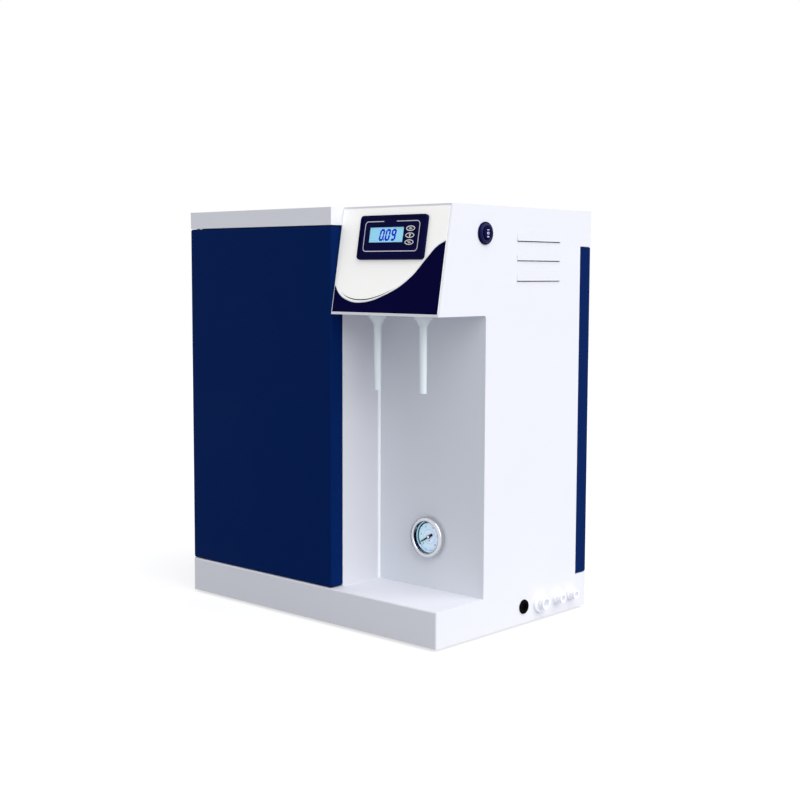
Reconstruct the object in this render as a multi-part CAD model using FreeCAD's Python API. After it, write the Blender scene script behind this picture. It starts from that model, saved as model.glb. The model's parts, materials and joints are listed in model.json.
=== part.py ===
import FreeCAD, Part
import math
import os

os.makedirs("parts", exist_ok=True)
V = FreeCAD.Vector
X_AXIS = V(1, 0, 0)
Y_AXIS = V(0, 1, 0)
Z_AXIS = V(0, 0, 1)

# Driving sizes of the cabinet, in millimetres. +X is to the right, +Y to the back and +Z up.
cabinet_width = 400.0
cabinet_depth = 270.0
cabinet_height = 465.0
foot_height = 3.0
base_height = 40.0
base_sheet = 1.5
sheet = 1.2
seam = 0.3
edge_round = 1.2

# The left cabinet, the head and the dispensing bay under it
door_width = 243.4
door_gap = 0.6
door_depth = 18.0
door_round = 2.5
door_corner = 4.0
band_height = 19.5
bay_depth = 78.0
head_height = 117.0
panel_recess = 20.4
flange_width = 15.0

# Door hinge
hinge_inset_x = 4.0
hinge_inset_y = 9.0
hinge_pin_r = 2.0
hinge_clearance = 0.05
hinge_swing_gap = 1.2
hinge_plate = 3.0

# Rear cover
rear_cover_depth = 20.4
rear_cover_top_drop = 41.0
screw_r = 2.0
screw_head_r = 3.6
screw_head = 1.6
screw_length = 7.0

# Parts that stand out of the right side
side_projection = 10.0

# Places that follow from these sizes
left = -(cabinet_width + side_projection) / 2
right = left + cabinet_width
front = -(cabinet_depth + screw_head) / 2
back = front + cabinet_depth
base_bottom = foot_height
base_top = base_bottom + base_height
cabinet_top = base_bottom + cabinet_height
roof = cabinet_top - sheet
band_bottom = cabinet_top - band_height
head_bottom = cabinet_top - head_height
head_left = left + door_width + door_gap
door_right = left + door_width
bay_back = front + bay_depth
rear_cover_front = back - rear_cover_depth
rear_cover_top = cabinet_top - rear_cover_top_drop
head_width = right - head_left
panel_slope = math.atan2(panel_recess, head_height)
panel_length = math.hypot(panel_recess, head_height)
panel_back = sheet / math.cos(panel_slope)
door_back = front + door_depth


def box(x0, x1, y0, y1, z0, z1):
    return Part.makeBox(x1 - x0, y1 - y0, z1 - z0, V(x0, y0, z0))


def cyl(radius, start, axis, length):
    return Part.makeCylinder(radius, length, start, axis)


def tube(outer, inner, start, axis, length):
    return cyl(outer, start, axis, length).cut(cyl(inner, start, axis, length))


def cone(r0, r1, start, axis, length):
    return Part.makeCone(r0, r1, length, start, axis)


def join(first, *others):
    result = first
    for other in others:
        result = result.fuse(other)
    return result.removeSplitter()


def prism_yz(points, x0, x1):
    """An outline in the YZ plane, drawn out from x0 to x1."""
    corners = [V(x0, y, z) for y, z in points]
    face = Part.Face(Part.makePolygon(corners + corners[:1]))
    return face.extrude(V(x1 - x0, 0, 0))


def prism_xz(points, y0, y1):
    """An outline in the XZ plane, drawn out from y0 to y1."""
    corners = [V(x, y0, z) for x, z in points]
    face = Part.Face(Part.makePolygon(corners + corners[:1]))
    return face.extrude(V(0, y1 - y0, 0))


def oval(half_width, half_height, x, y, z0, z1):
    """A slot-shaped block with round ends, long along X."""
    straight = half_width - half_height
    block = box(x - straight, x + straight, y - half_height, y + half_height, z0, z1)
    ends = [cyl(half_height, V(x + side * straight, y, z0), Z_AXIS, z1 - z0) for side in (-1, 1)]
    return join(block, *ends)


def rounded(x0, x1, y0, y1, z0, z1, radius):
    """A block whose four edges along Z are round."""
    block = box(x0, x1, y0, y1, z0, z1)
    upright = [e for e in block.Edges if abs(e.tangentAt(e.FirstParameter).z) > 0.9]
    return block.makeFillet(radius, upright)


def soften(shape, radius, wanted):
    """Round the edges whose middle point passes the test."""
    edges = [e for e in shape.Edges if wanted(e.CenterOfMass)]
    return shape.makeFillet(radius, edges)


def on_panel(shape):
    """Move a shape from the panel's own plane (X right, Y up the slope, Z outwards) to its place."""
    moved = shape.copy()
    turn = FreeCAD.Rotation(X_AXIS, 90 - math.degrees(panel_slope))
    moved.Placement = FreeCAD.Placement(V(head_left, front, head_bottom), turn)
    return moved


def save(name, shapes):
    solids = shapes if isinstance(shapes, list) else [shapes]
    parts = []
    for solid in solids:
        parts += solid.Solids
    shape = parts[0] if len(parts) == 1 else Part.makeCompound(parts)
    shape.exportStep("parts/" + name + ".step")
    bounds = shape.BoundBox
    size = [round(length, 1) for length in (bounds.XLength, bounds.YLength, bounds.ZLength)]
    print(name, len(parts), shape.isValid(), size)


# Base plinth: an inverted sheet tray with inward lips that carry the feet
lip_width = 40.0
base_round = 2.0
port_height = 19.0
grommet_inset = 120.0
grommet_r = 8.1
grommet_neck_r = 6.6
grommet_bore_r = 4.0
grommet_lip = 1.5
feed_port_inset = 90.0
small_port_insets = {"tank": 57.0, "drain": 31.0}
feed_barrel_r = 8.0
small_barrel_r = 5.5
port_clearance = 0.1
hose_slot_width = 30.0
hose_slot_depth = 24.0
hose_slot_inset_x = 50.0
hose_slot_inset_y = 65.0
foot_r = 9.0
foot_inset = 26.0
foot_screw_recess = 0.4
port_z = base_bottom + port_height
grommet_y = back - grommet_inset
feed_port_y = back - feed_port_inset
small_port_ys = {name: back - inset for name, inset in small_port_insets.items()}
hose_slot_x = right - hose_slot_inset_x
hose_slot_y = back - hose_slot_inset_y
hinge_x = left + hinge_inset_x
hinge_y = front + hinge_inset_y
foot_places = []
for foot_x in (left + foot_inset, right - foot_inset):
    for foot_y in (front + foot_inset, back - foot_inset):
        foot_places.append((foot_x, foot_y))


def base_plinth():
    outer = box(left, right, front, back, base_bottom, base_top)
    outer = soften(outer, base_round, lambda c: c.y < front + seam and c.z > base_bottom + seam)
    outer = soften(outer, edge_round,
                   lambda c: c.y > back - seam and base_bottom + seam < c.z < base_top - seam)
    inner = box(left + base_sheet, right - base_sheet, front + base_sheet, back - base_sheet,
                base_bottom + base_sheet, base_top - base_sheet)
    mouth = box(left + lip_width, right - lip_width, front + lip_width, back - lip_width,
                base_bottom, base_bottom + base_sheet)
    tray = outer.cut(inner).cut(mouth)
    wall = right - base_sheet
    deck = base_top - base_sheet
    holes = [cyl(grommet_neck_r, V(wall, grommet_y, port_z), X_AXIS, base_sheet)]
    holes.append(cyl(feed_barrel_r + port_clearance, V(wall, feed_port_y, port_z), X_AXIS, base_sheet))
    for port_y in small_port_ys.values():
        holes.append(cyl(small_barrel_r + port_clearance, V(wall, port_y, port_z), X_AXIS, base_sheet))
    for foot_x, foot_y in foot_places:
        holes.append(cyl(screw_r + port_clearance, V(foot_x, foot_y, base_bottom), Z_AXIS, base_sheet))
    holes.append(cyl(hinge_pin_r + hinge_clearance, V(hinge_x, hinge_y, deck), Z_AXIS, base_sheet))
    holes.append(box(hose_slot_x, hose_slot_x + hose_slot_width, hose_slot_y, hose_slot_y + hose_slot_depth,
                     deck, base_top))
    for hole in holes:
        tray = tray.cut(hole)
    return tray


def rubber_feet():
    feet = []
    for foot_x, foot_y in foot_places:
        pad = cyl(foot_r, V(foot_x, foot_y, 0), Z_AXIS, foot_height)
        seat = screw_head + foot_screw_recess
        well = cyl(screw_head_r + port_clearance, V(foot_x, foot_y, 0), Z_AXIS, seat)
        hole = cyl(screw_r + port_clearance, V(foot_x, foot_y, 0), Z_AXIS, foot_height)
        feet.append(soften(pad.cut(well).cut(hole), foot_height / 6, lambda c: c.z < foot_height / 10))
    return feet


def screw(start, axis, length=screw_length):
    """A pan head screw: start is the middle of the head's seat, axis runs into the work."""
    shank = cyl(screw_r, start, axis, length)
    head = cyl(screw_head_r, start - axis * screw_head, axis, screw_head)
    driver = cyl(screw_r / 2, start - axis * screw_head, axis, screw_head / 2)
    return join(shank, head).cut(driver)


# Side panels with their flanges, and the roof
louvre_inset = 139.6
louvre_length = 79.8
louvre_height = 11.0
louvre_hood = 1.5
louvre_round = 1.0
louvre_skin = 0.9
louvre_slit = 1.0
louvre_drops = (36.4, 57.6, 79.9)
notch_round = 3.0
switch_y = 75.0
switch_drop = 29.6
switch_barrel_r = 9.75
switch_z = cabinet_top - switch_drop
side_front = door_back + hinge_swing_gap
rear_tab = 9.0
rear_screw_inset = 30.0
rear_cover_round = 2.0


def rear_flange(wall, inwards):
    """The tab inside the rear cover: a strip along the side wall and a lip against the cover's back."""
    strip_x = sorted((wall, wall + inwards * sheet))
    lip_x = sorted((wall, wall + inwards * flange_width))
    lip_back = back - sheet
    z0 = base_top + rear_tab
    z1 = rear_cover_top - rear_tab
    strip = box(strip_x[0], strip_x[1], rear_cover_front - rear_tab, lip_back, z0, z1)
    lip = box(lip_x[0], lip_x[1], lip_back - sheet, lip_back, z0, z1)
    return join(strip, lip)


rear_screw_places = []
for screw_x in (left + flange_width - screw_head_r, right - flange_width + screw_head_r):
    rear_screw_places.append((screw_x, base_top + rear_screw_inset))
    rear_screw_places.append((screw_x, (base_top + rear_cover_top) / 2))
    rear_screw_places.append((screw_x, rear_cover_top - rear_screw_inset))


def rear_holes(radius):
    return [cyl(radius, V(x, back - 3 * sheet, z), Y_AXIS, 4 * sheet) for x, z in rear_screw_places]


def left_side_panel():
    outline = [(side_front, base_top), (rear_cover_front - seam, base_top),
               (rear_cover_front - seam, rear_cover_top + seam), (back, rear_cover_top + seam),
               (back, roof), (front + sheet, roof), (front + sheet, band_bottom + seam),
               (side_front, band_bottom + seam)]
    wall = prism_yz(outline, left, left + sheet)
    flange = box(left, left + flange_width, side_front, side_front + sheet, base_top, band_bottom)
    panel = join(wall, flange, rear_flange(left + sheet, 1))
    for hole in rear_holes(screw_r + port_clearance):
        panel = panel.cut(hole)
    return panel


def louvre(lower):
    """A pressed hood that is open downwards, and the space inside it."""
    upper = lower + louvre_height
    y0 = back - louvre_inset
    y1 = y0 + louvre_length
    crest = lower + louvre_hood
    outer_x = right + louvre_hood
    hood = prism_xz([(right - sheet, upper), (right, upper), (outer_x, crest), (outer_x, lower),
                     (right - sheet, lower)], y0, y1)
    hood = soften(hood, louvre_round, lambda c: c.x > right + seam and c.z > lower + seam)
    inner_x = outer_x - louvre_skin
    ceiling = upper - 2 * louvre_skin
    floor = lower - louvre_slit
    space = prism_xz([(right - 2 * sheet, ceiling), (right - louvre_skin, ceiling),
                      (inner_x, crest - louvre_skin), (inner_x, floor), (right - 2 * sheet, floor)],
                     y0 + louvre_round, y1 - louvre_round)
    return hood, space


def right_side_panel():
    roof_front = front + panel_back + (roof - head_bottom) * math.tan(panel_slope) + seam
    outline = [(bay_back, base_top), (rear_cover_front - seam, base_top),
               (rear_cover_front - seam, rear_cover_top + seam), (back, rear_cover_top + seam),
               (back, roof), (roof_front, roof), (front + panel_back + seam, head_bottom),
               (bay_back, head_bottom)]
    wall = prism_yz(outline, right - sheet, right)
    wall = soften(wall, notch_round, lambda c: abs(c.y - bay_back) < seam and abs(c.z - head_bottom) < seam)
    panel = join(wall, rear_flange(right - sheet, -1))
    for drop in louvre_drops:
        hood, space = louvre(cabinet_top - drop)
        panel = panel.fuse(hood).cut(space)
    switch_hole = V(right - sheet, front + switch_y, switch_z)
    panel = panel.cut(cyl(switch_barrel_r + port_clearance, switch_hole, X_AXIS, sheet))
    for hole in rear_holes(screw_r + port_clearance):
        panel = panel.cut(hole)
    return panel.removeSplitter()


def top_cover():
    notch_back = front + panel_recess
    top = rounded(left, right, front, back, roof, cabinet_top, edge_round)
    top = top.cut(box(head_left, right, front, notch_back, roof, cabinet_top))
    band = box(left + edge_round, head_left, front, front + sheet, band_bottom, roof)
    notch_return = box(head_left - sheet, head_left, front, notch_back, band_bottom, roof)
    rear = box(left + sheet + seam, right - sheet - seam, back - sheet, back, rear_cover_top + seam, roof)
    return join(top, band, notch_return, rear)


def rear_cover():
    tray = rounded(left, right, rear_cover_front, back, base_top + seam, rear_cover_top, edge_round)
    tray = soften(tray, rear_cover_round,
                  lambda c: c.y < rear_cover_front + seam and abs(c.x) < seam + side_projection)
    hollow = box(left + sheet, right - sheet, rear_cover_front, back - sheet, base_top + seam + sheet,
                 rear_cover_top - sheet)
    cover = tray.cut(hollow)
    for hole in rear_holes(screw_r + port_clearance):
        cover = cover.cut(hole)
    return cover


# Dispensing bay walls and the inner mounting panel
post_depth = 22.0
gauge_offset = 0.5
gauge_height = 59.0
gauge_case_r = 19.0
gauge_clearance = 0.3
nozzle_y = 27.5
nozzle_spread = 67.0
nozzle_stem_r = 4.0
bay_lip = 12.0
mounting_panel_y = 150.0
gauge_z = base_top + gauge_height
head_middle = head_left + head_width / 2
gauge_x = head_middle + gauge_offset
nozzle_places = [(head_middle + side * nozzle_spread / 2, front + nozzle_y) for side in (-1, 1)]


def bay_side_wall():
    wall_front = door_back + door_gap
    outline = [(wall_front, base_top), (bay_back, base_top), (bay_back, head_bottom),
               (front + post_depth + flange_width, head_bottom), (front + post_depth + flange_width, roof),
               (front + post_depth, roof), (front + post_depth, band_bottom), (wall_front, band_bottom)]
    wall = prism_yz(outline, door_right - sheet, door_right)
    flange = box(door_right - flange_width, door_right, wall_front, wall_front + sheet, base_top, band_bottom)
    return join(wall, flange)


def bay_back_panel():
    panel = box(door_right - flange_width, right - sheet, bay_back, bay_back + sheet, base_top, head_bottom)
    hole = cyl(gauge_case_r + gauge_clearance, V(gauge_x, bay_back - sheet, gauge_z), Y_AXIS, 3 * sheet)
    return panel.cut(hole)


def head_underside():
    plate = box(head_left, right - sheet, front + bay_lip + seam, bay_back + bay_lip, head_bottom,
                head_bottom + sheet)
    for x, y in nozzle_places:
        plate = plate.cut(cyl(nozzle_stem_r + port_clearance, V(x, y, head_bottom), Z_AXIS, sheet))
    return plate


def mounting_panel():
    x0 = left + sheet + seam
    x1 = door_right - flange_width
    y0 = front + mounting_panel_y
    web = box(x0, x1, y0, y0 + sheet, base_top, roof)
    foot = box(x0, x1, y0, y0 + flange_width, base_top, base_top + sheet)
    crest = box(x0, x1, y0, y0 + flange_width, roof - sheet, roof)
    return join(web, foot, crest)


# Front door: a shallow sheet tray on two pins
pin_reach = 6.0
magnet_width = 10.0
magnet_height = 30.0
magnet_inset = 6.0


def front_door():
    y1 = front + door_depth
    z0 = base_top + door_gap
    z1 = band_bottom - door_gap
    tray = box(left, door_right, front, y1, z0, z1)
    tray = soften(tray, door_round, lambda c: c.y < y1 - seam)
    tray = tray.cut(box(left + sheet, door_right - sheet, front + sheet, y1, z0 + sheet, z1 - sheet))
    plate_x = left + 3 * hinge_inset_x
    for low in (z0 + sheet, z1 - sheet - hinge_plate):
        tray = tray.fuse(box(left + sheet, plate_x, front + sheet, y1 - sheet, low, low + hinge_plate))
    for low in (z0, z1 - sheet - hinge_plate):
        bore = cyl(hinge_pin_r + hinge_clearance, V(hinge_x, hinge_y, low), Z_AXIS, sheet + hinge_plate)
        tray = tray.cut(bore)
    corner = box(left, door_right, y1 - door_corner, y1, z0, z0 + door_corner)
    round_start = V(left, y1 - door_corner, z0 + door_corner)
    corner = corner.cut(cyl(door_corner, round_start, X_AXIS, door_right - left))
    return tray.cut(corner).removeSplitter()


def hinge_pins():
    lower = cyl(hinge_pin_r, V(hinge_x, hinge_y, base_top - base_sheet - hinge_plate), Z_AXIS,
                base_sheet + hinge_plate + door_gap + pin_reach - hinge_plate)
    top_start = band_bottom - pin_reach + hinge_plate - door_gap
    upper = cyl(hinge_pin_r, V(hinge_x, hinge_y, top_start), Z_AXIS, pin_reach + door_gap)
    return [lower, upper]


def hinge_brackets():
    plate_back = side_front + flange_width
    plate_right = left + flange_width
    floor = band_bottom + seam
    y0 = front + sheet + seam
    upper = box(left + sheet, plate_right, y0, plate_back, floor, floor + sheet)
    upper_ear = box(left + sheet, left + 2 * sheet, y0, plate_back, floor, roof - edge_round)
    upper = join(upper, upper_ear)
    low = base_top - base_sheet - hinge_plate
    lower = box(left + base_sheet, plate_right, front + base_sheet, plate_back, low, low + hinge_plate)
    brackets = []
    for bracket in (lower, upper):
        bore_r = hinge_pin_r + hinge_clearance / 5
        bore = cyl(bore_r, V(hinge_x, hinge_y, base_bottom), Z_AXIS, cabinet_height)
        brackets.append(bracket.cut(bore))
    return brackets


def door_magnets():
    x1 = door_right - magnet_inset
    y0 = front + sheet + seam
    y1 = door_back + door_gap
    magnets = []
    for middle in (base_top + head_height / 2, band_bottom - head_height / 2):
        block = box(x1 - magnet_width, x1, y0, y1, middle - magnet_height / 2, middle + magnet_height / 2)
        magnets.append(soften(block, seam * 2, lambda c: c.y < y1 - seam))
    return magnets


# Control panel, its printed overlay and the panel meter, drawn in the panel's own plane
overlay_thickness = 0.4
overlay_margin = 1.0
overlay_bottom = 2.4
meter_offset = 2.0
meter_y = 83.8
meter_width = 96.0
meter_height = 48.0
meter_round = 4.0
cutout_width = 92.0
cutout_height = 45.0
case_width = 91.0
case_height = 44.0
case_depth = 50.0
case_wall = 1.5
bezel_field = 3.4
bezel_rim = 4.4
bezel_rim_width = 2.6
window_width = 50.0
window_height = 16.4
window_x = -8.45
window_y = 2.7
window_thickness = 1.2
window_sink = 0.3
lcd_width = 52.0
lcd_height = 19.0
button_x = 26.9
button_ys = {"left": 8.9, "up": 1.5, "set": -5.9}
button_half_width = 6.8
button_half_height = 3.2
button_clearance = 0.2
button_proud = 0.6
button_flange_half_width = 8.2
button_flange = 0.8
button_base = 0.6
flange_clearance = 0.05
board_thickness = 1.6
board_front = -0.6
switch_dome = 4.0
switch_dome_top = 0.1
meter_x = head_width / 2 + meter_offset
clip_length = 12.0
clip_reach = 2.4
clip_height = 4.0


def meter_box(half_width, half_height, z0, z1, x=0.0, y=0.0):
    return box(meter_x + x - half_width, meter_x + x + half_width,
               meter_y + y - half_height, meter_y + y + half_height, z0, z1)


def control_panel():
    roof_y = front + (roof - head_bottom) * math.tan(panel_slope)
    plate = prism_yz([(front, head_bottom), (roof_y, roof), (roof_y + panel_back, roof),
                      (front + panel_back, head_bottom)], head_left, right)
    lip = box(head_left, right - sheet - seam, front + panel_back / 2, front + bay_lip, head_bottom,
              head_bottom + sheet)
    cutout = meter_box(cutout_width / 2, cutout_height / 2, -3 * sheet, sheet)
    return join(plate, lip).cut(on_panel(cutout))


def panel_overlay():
    film = rounded(overlay_margin, head_width - overlay_margin, overlay_bottom,
                   panel_length - 2 * sheet, 0, overlay_thickness, overlay_margin)
    cutout = meter_box(cutout_width / 2, cutout_height / 2, -sheet, sheet)
    return on_panel(film.cut(cutout))


def meter_bezel():
    x0 = meter_x - meter_width / 2
    y0 = meter_y - meter_height / 2
    frame = rounded(x0, x0 + meter_width, y0, y0 + meter_height, overlay_thickness, bezel_rim, meter_round)
    frame = soften(frame, 1.0, lambda c: c.z > bezel_rim - flange_clearance)
    rim = bezel_rim_width
    field = rounded(x0 + rim, x0 + meter_width - rim, y0 + rim, y0 + meter_height - rim,
                    bezel_field, bezel_rim, meter_round - rim / 2)
    frame = frame.cut(field)
    frame = frame.cut(meter_box(window_width / 2, window_height / 2, 0, bezel_rim, window_x, window_y))
    pocket_top = bezel_field - window_sink - window_thickness
    frame = frame.cut(meter_box(lcd_width / 2 + flange_clearance, lcd_height / 2 + flange_clearance, 0,
                                pocket_top, window_x, window_y))
    low = min(button_ys.values()) - button_half_height - button_clearance
    high = max(button_ys.values()) + button_half_height + button_clearance
    flange_top = button_base + button_flange + flange_clearance
    frame = frame.cut(meter_box(button_flange_half_width + button_clearance, (high - low) / 2, 0, flange_top,
                                button_x, (high + low) / 2))
    for button_y in button_ys.values():
        hole = oval(button_half_width + button_clearance, button_half_height + button_clearance,
                    meter_x + button_x, meter_y + button_y, 0, bezel_rim)
        frame = frame.cut(hole)
    return on_panel(frame)


def meter_button(name):
    x = meter_x + button_x
    y = meter_y + button_ys[name]
    top = bezel_field + button_proud
    shell = oval(button_half_width, button_half_height, x, y, button_base, top)
    shell = soften(shell, button_proud / 2, lambda c: c.z > top - flange_clearance)
    flange = box(x - button_flange_half_width, x + button_flange_half_width, y - button_half_height,
                 y + button_half_height, button_base, button_base + button_flange)
    return on_panel(join(shell, flange))


def display_window():
    top = bezel_field - window_sink
    lens = meter_box(window_width / 2 - flange_clearance, window_height / 2 - flange_clearance,
                     top - window_thickness, top, window_x, window_y)
    return on_panel(lens)


def lcd_module():
    top = bezel_field - window_sink - window_thickness
    glass = meter_box(lcd_width / 2, lcd_height / 2, board_front, top, window_x, window_y)
    return on_panel(glass)


def meter_case():
    outer = meter_box(case_width / 2, case_height / 2, -case_depth, overlay_thickness)
    inner = meter_box(case_width / 2 - case_wall, case_height / 2 - case_wall, case_wall - case_depth,
                      overlay_thickness)
    case = outer.cut(inner)
    for side in (-1, 1):
        clip = meter_box(clip_length / 2, clip_reach / 2, -sheet - clip_height, -sheet, 0,
                         side * (case_height + clip_reach) / 2)
        case = case.fuse(clip)
    terminals = meter_box(case_width / 2 - 3 * case_wall, case_height / 5, -case_depth - 3 * case_wall,
                          -case_depth)
    return on_panel(join(case, terminals))


def meter_board():
    board_half_width = case_width / 2 - case_wall - flange_clearance
    board_half_height = case_height / 2 - case_wall - flange_clearance
    board = meter_box(board_half_width, board_half_height, board_front - board_thickness, board_front)
    for button_y in button_ys.values():
        dome = meter_box(switch_dome / 2, switch_dome / 2, board_front, switch_dome_top, button_x, button_y)
        board = board.fuse(dome)
    return on_panel(board)


# Dispensing nozzles
nozzle_flange_r = 10.3
nozzle_flange = 4.6
nozzle_cone_top_r = 8.0
nozzle_cone = 7.3
nozzle_tube_r = 4.2
nozzle_tip_r = 3.9
nozzle_bore_r = 2.4
nozzle_length = 82.7
nozzle_stem = 14.0
nut_height = 4.0


def nozzle(place):
    x, y = place
    cone_top = head_bottom - nozzle_flange
    cone_bottom = cone_top - nozzle_cone
    tip = head_bottom - nozzle_length
    flange = cyl(nozzle_flange_r, V(x, y, cone_top), Z_AXIS, nozzle_flange)
    flange = soften(flange, nozzle_flange / 3, lambda c: c.z < cone_top + seam)
    neck = cone(nozzle_tube_r, nozzle_cone_top_r, V(x, y, cone_bottom), Z_AXIS, nozzle_cone)
    pipe = cone(nozzle_tip_r, nozzle_tube_r, V(x, y, tip), Z_AXIS, cone_bottom - tip)
    stem = cyl(nozzle_stem_r, V(x, y, head_bottom), Z_AXIS, nozzle_stem)
    bore = cyl(nozzle_bore_r, V(x, y, tip), Z_AXIS, nozzle_length + nozzle_stem)
    return join(flange, neck, pipe, stem).cut(bore)


def nut(bore_r, across_flats, start, axis, height):
    """A hexagon nut whose near face is centred on start."""
    corner_r = across_flats / math.sqrt(3)
    side = axis.cross(Z_AXIS if abs(axis.z) < 0.5 else X_AXIS)
    up = axis.cross(side)
    corners = []
    for step in range(7):
        angle = math.radians(60 * step)
        corners.append(start + side * (corner_r * math.cos(angle)) + up * (corner_r * math.sin(angle)))
    block = Part.Face(Part.makePolygon(corners)).extrude(axis * height)
    return block.cut(cyl(bore_r, start, axis, height))


# Power switch: a round push button in a flanged body
switch_flange_r = 12.1
switch_flange = 2.0
switch_barrel = 26.0
switch_cap_r = 7.0
switch_cap_proud = 4.4
switch_cap_depth = 6.0
switch_travel = 3.0
switch_stop = 1.0
switch_bore_depth = switch_cap_depth + switch_travel + switch_stop
switch_blade = 10.0
cap_clearance = 0.1


def switch_body():
    middle = V(right, front + switch_y, switch_z)
    flange = cyl(switch_flange_r, middle, X_AXIS, switch_flange)
    flange = soften(flange, switch_flange / 2, lambda c: c.x > right + switch_flange - seam)
    barrel = cyl(switch_barrel_r, middle - X_AXIS * switch_barrel, X_AXIS, switch_barrel)
    bore = cyl(switch_cap_r + cap_clearance, middle - X_AXIS * switch_bore_depth, X_AXIS,
               switch_bore_depth + switch_flange)
    body = join(flange, barrel).cut(bore)
    for side in (-1, 1):
        blade_y = middle.y + side * switch_cap_r / 2
        blade = box(right - switch_barrel - switch_blade, right - switch_barrel, blade_y - base_sheet,
                    blade_y + base_sheet, middle.z - seam, middle.z + seam)
        body = body.fuse(blade)
    return body


def switch_cap():
    start = V(right - switch_cap_depth, front + switch_y, switch_z)
    cap = cyl(switch_cap_r, start, X_AXIS, switch_cap_depth + switch_cap_proud)
    return soften(cap, switch_cap_r / 7, lambda c: c.x > right + switch_cap_proud - seam)


# Cable grommet and hose ports in the plinth's right wall
port_flange = 3.0
port_nose = 4.5
port_barrel = 18.0
collet_wall = 1.5
collet_clearance = 0.1
collet_travel = 1.0
collet_rim = 1.5
collet_rim_reach = 1.0
collet_depth = 4.0
feed_tube_r = 4.8
small_tube_r = 3.2
hose_ports = {
    "feed": (feed_port_y, 12.0, feed_barrel_r, feed_tube_r),
    "tank": (small_port_ys["tank"], 7.5, small_barrel_r, small_tube_r),
    "drain": (small_port_ys["drain"], 7.5, small_barrel_r, small_tube_r),
}


def cable_grommet():
    middle = V(right, grommet_y, port_z)
    inside = right - base_sheet - grommet_lip
    neck_r = grommet_neck_r - flange_clearance
    neck = cyl(neck_r, V(inside, middle.y, middle.z), X_AXIS, base_sheet + grommet_lip)
    outer_lip = cyl(grommet_r, middle, X_AXIS, grommet_lip)
    outer_lip = soften(outer_lip, grommet_lip / 2, lambda c: c.x > right + grommet_lip - seam)
    inner_lip = cyl(grommet_r, V(inside, middle.y, middle.z), X_AXIS, grommet_lip)
    bore = cyl(grommet_bore_r, V(inside, middle.y, middle.z), X_AXIS, base_sheet + 2 * grommet_lip)
    return join(neck, outer_lip, inner_lip).cut(bore)


def hose_port(name):
    y, flange_r, barrel_r, tube_r = hose_ports[name]
    middle = V(right, y, port_z)
    nose_r = tube_r + collet_wall + collet_rim_reach + collet_clearance
    flange = cyl(flange_r, middle, X_AXIS, port_flange)
    flange = soften(flange, port_flange / 3, lambda c: c.x > right + port_flange - seam)
    nose = cyl(nose_r, middle, X_AXIS, port_flange + port_nose)
    barrel = cyl(barrel_r, middle - X_AXIS * port_barrel, X_AXIS, port_barrel)
    bore = cyl(tube_r * 0.7, middle - X_AXIS * port_barrel, X_AXIS, port_barrel)
    socket = cyl(tube_r + collet_wall + collet_clearance, middle - X_AXIS * collet_depth, X_AXIS,
                 collet_depth + port_flange + port_nose)
    return join(flange, nose, barrel).cut(bore).cut(socket)


def collet(name):
    y, flange_r, barrel_r, tube_r = hose_ports[name]
    start = V(right - collet_depth + 1.5 * collet_travel, y, port_z)
    rim_x = right + side_projection - collet_rim
    sleeve = cyl(tube_r + collet_wall, start, X_AXIS, rim_x - start.x)
    rim = cyl(tube_r + collet_wall + collet_rim_reach, V(rim_x, start.y, start.z), X_AXIS, collet_rim)
    bore = cyl(tube_r, start, X_AXIS, right + side_projection - start.x)
    return join(sleeve, rim).cut(bore)


def panel_nuts():
    nuts = []
    for x, y in nozzle_places:
        start = V(x, y, head_bottom + sheet)
        nuts.append(nut(nozzle_stem_r + port_clearance, 4 * nozzle_stem_r, start, Z_AXIS, nut_height))
    start = V(right - sheet, front + switch_y, switch_z)
    nuts.append(nut(switch_barrel_r + port_clearance, 2.6 * switch_barrel_r, start, -X_AXIS, nut_height))
    for y, flange_r, barrel_r, tube_r in hose_ports.values():
        start = V(right - base_sheet, y, port_z)
        nuts.append(nut(barrel_r + port_clearance, 1.75 * flange_r, start, -X_AXIS, nut_height))
    return nuts


# Pressure gauge in the bay's back panel. Reach is the distance in front of the panel's face.
gauge_case_depth = 20.0
gauge_case_wall = 1.0
gauge_case_front = 5.0
gauge_flange_r = 21.8
gauge_flange = 1.5
gauge_ring_r = 23.4
gauge_ring_front = 9.0
gauge_opening_r = 18.0
gauge_glass = 2.0
gauge_dial_r = 17.6
gauge_dial_reach = 0.5
gauge_dial_thickness = 0.8
pointer_reach = 2.3
pointer_thickness = 0.6
pointer_length = 13.5
pointer_tail = 6.0
pointer_width = 1.5
pointer_tip_width = 1.0
pointer_hub_r = 2.3
pointer_angle = 211.0
spindle_r = 0.6
spindle_clearance = 0.05
movement_reach = -5.0
movement_r = 9.0
movement_thickness = 1.2
socket_r = 5.0
elbow_reach = 10.0
socket_length = 14.0
bourdon_r = 13.0
bourdon_tube_r = 1.6


def gauge_disc(radius, near, far):
    """A disc on the gauge's axis, from one reach to another."""
    return cyl(radius, V(gauge_x, bay_back - near, gauge_z), -Y_AXIS, far - near)


def gauge_case():
    cup = gauge_disc(gauge_case_r, -gauge_case_depth, gauge_case_front)
    flange = gauge_disc(gauge_flange_r, 0, gauge_flange)
    hollow = gauge_disc(gauge_case_r - gauge_case_wall, gauge_case_wall - gauge_case_depth, gauge_case_front)
    hole = gauge_disc(socket_r + port_clearance, -gauge_case_depth, 0)
    return join(cup, flange).cut(hollow).cut(hole)


def gauge_bezel():
    ring = gauge_disc(gauge_ring_r, gauge_flange, gauge_ring_front)
    ring = soften(ring, gauge_glass, lambda c: c.y < bay_back - gauge_ring_front + seam)
    ring = ring.cut(gauge_disc(gauge_case_r + gauge_clearance, gauge_flange, gauge_case_front + gauge_glass))
    return ring.cut(gauge_disc(gauge_opening_r, 0, gauge_ring_front + seam))


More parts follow.
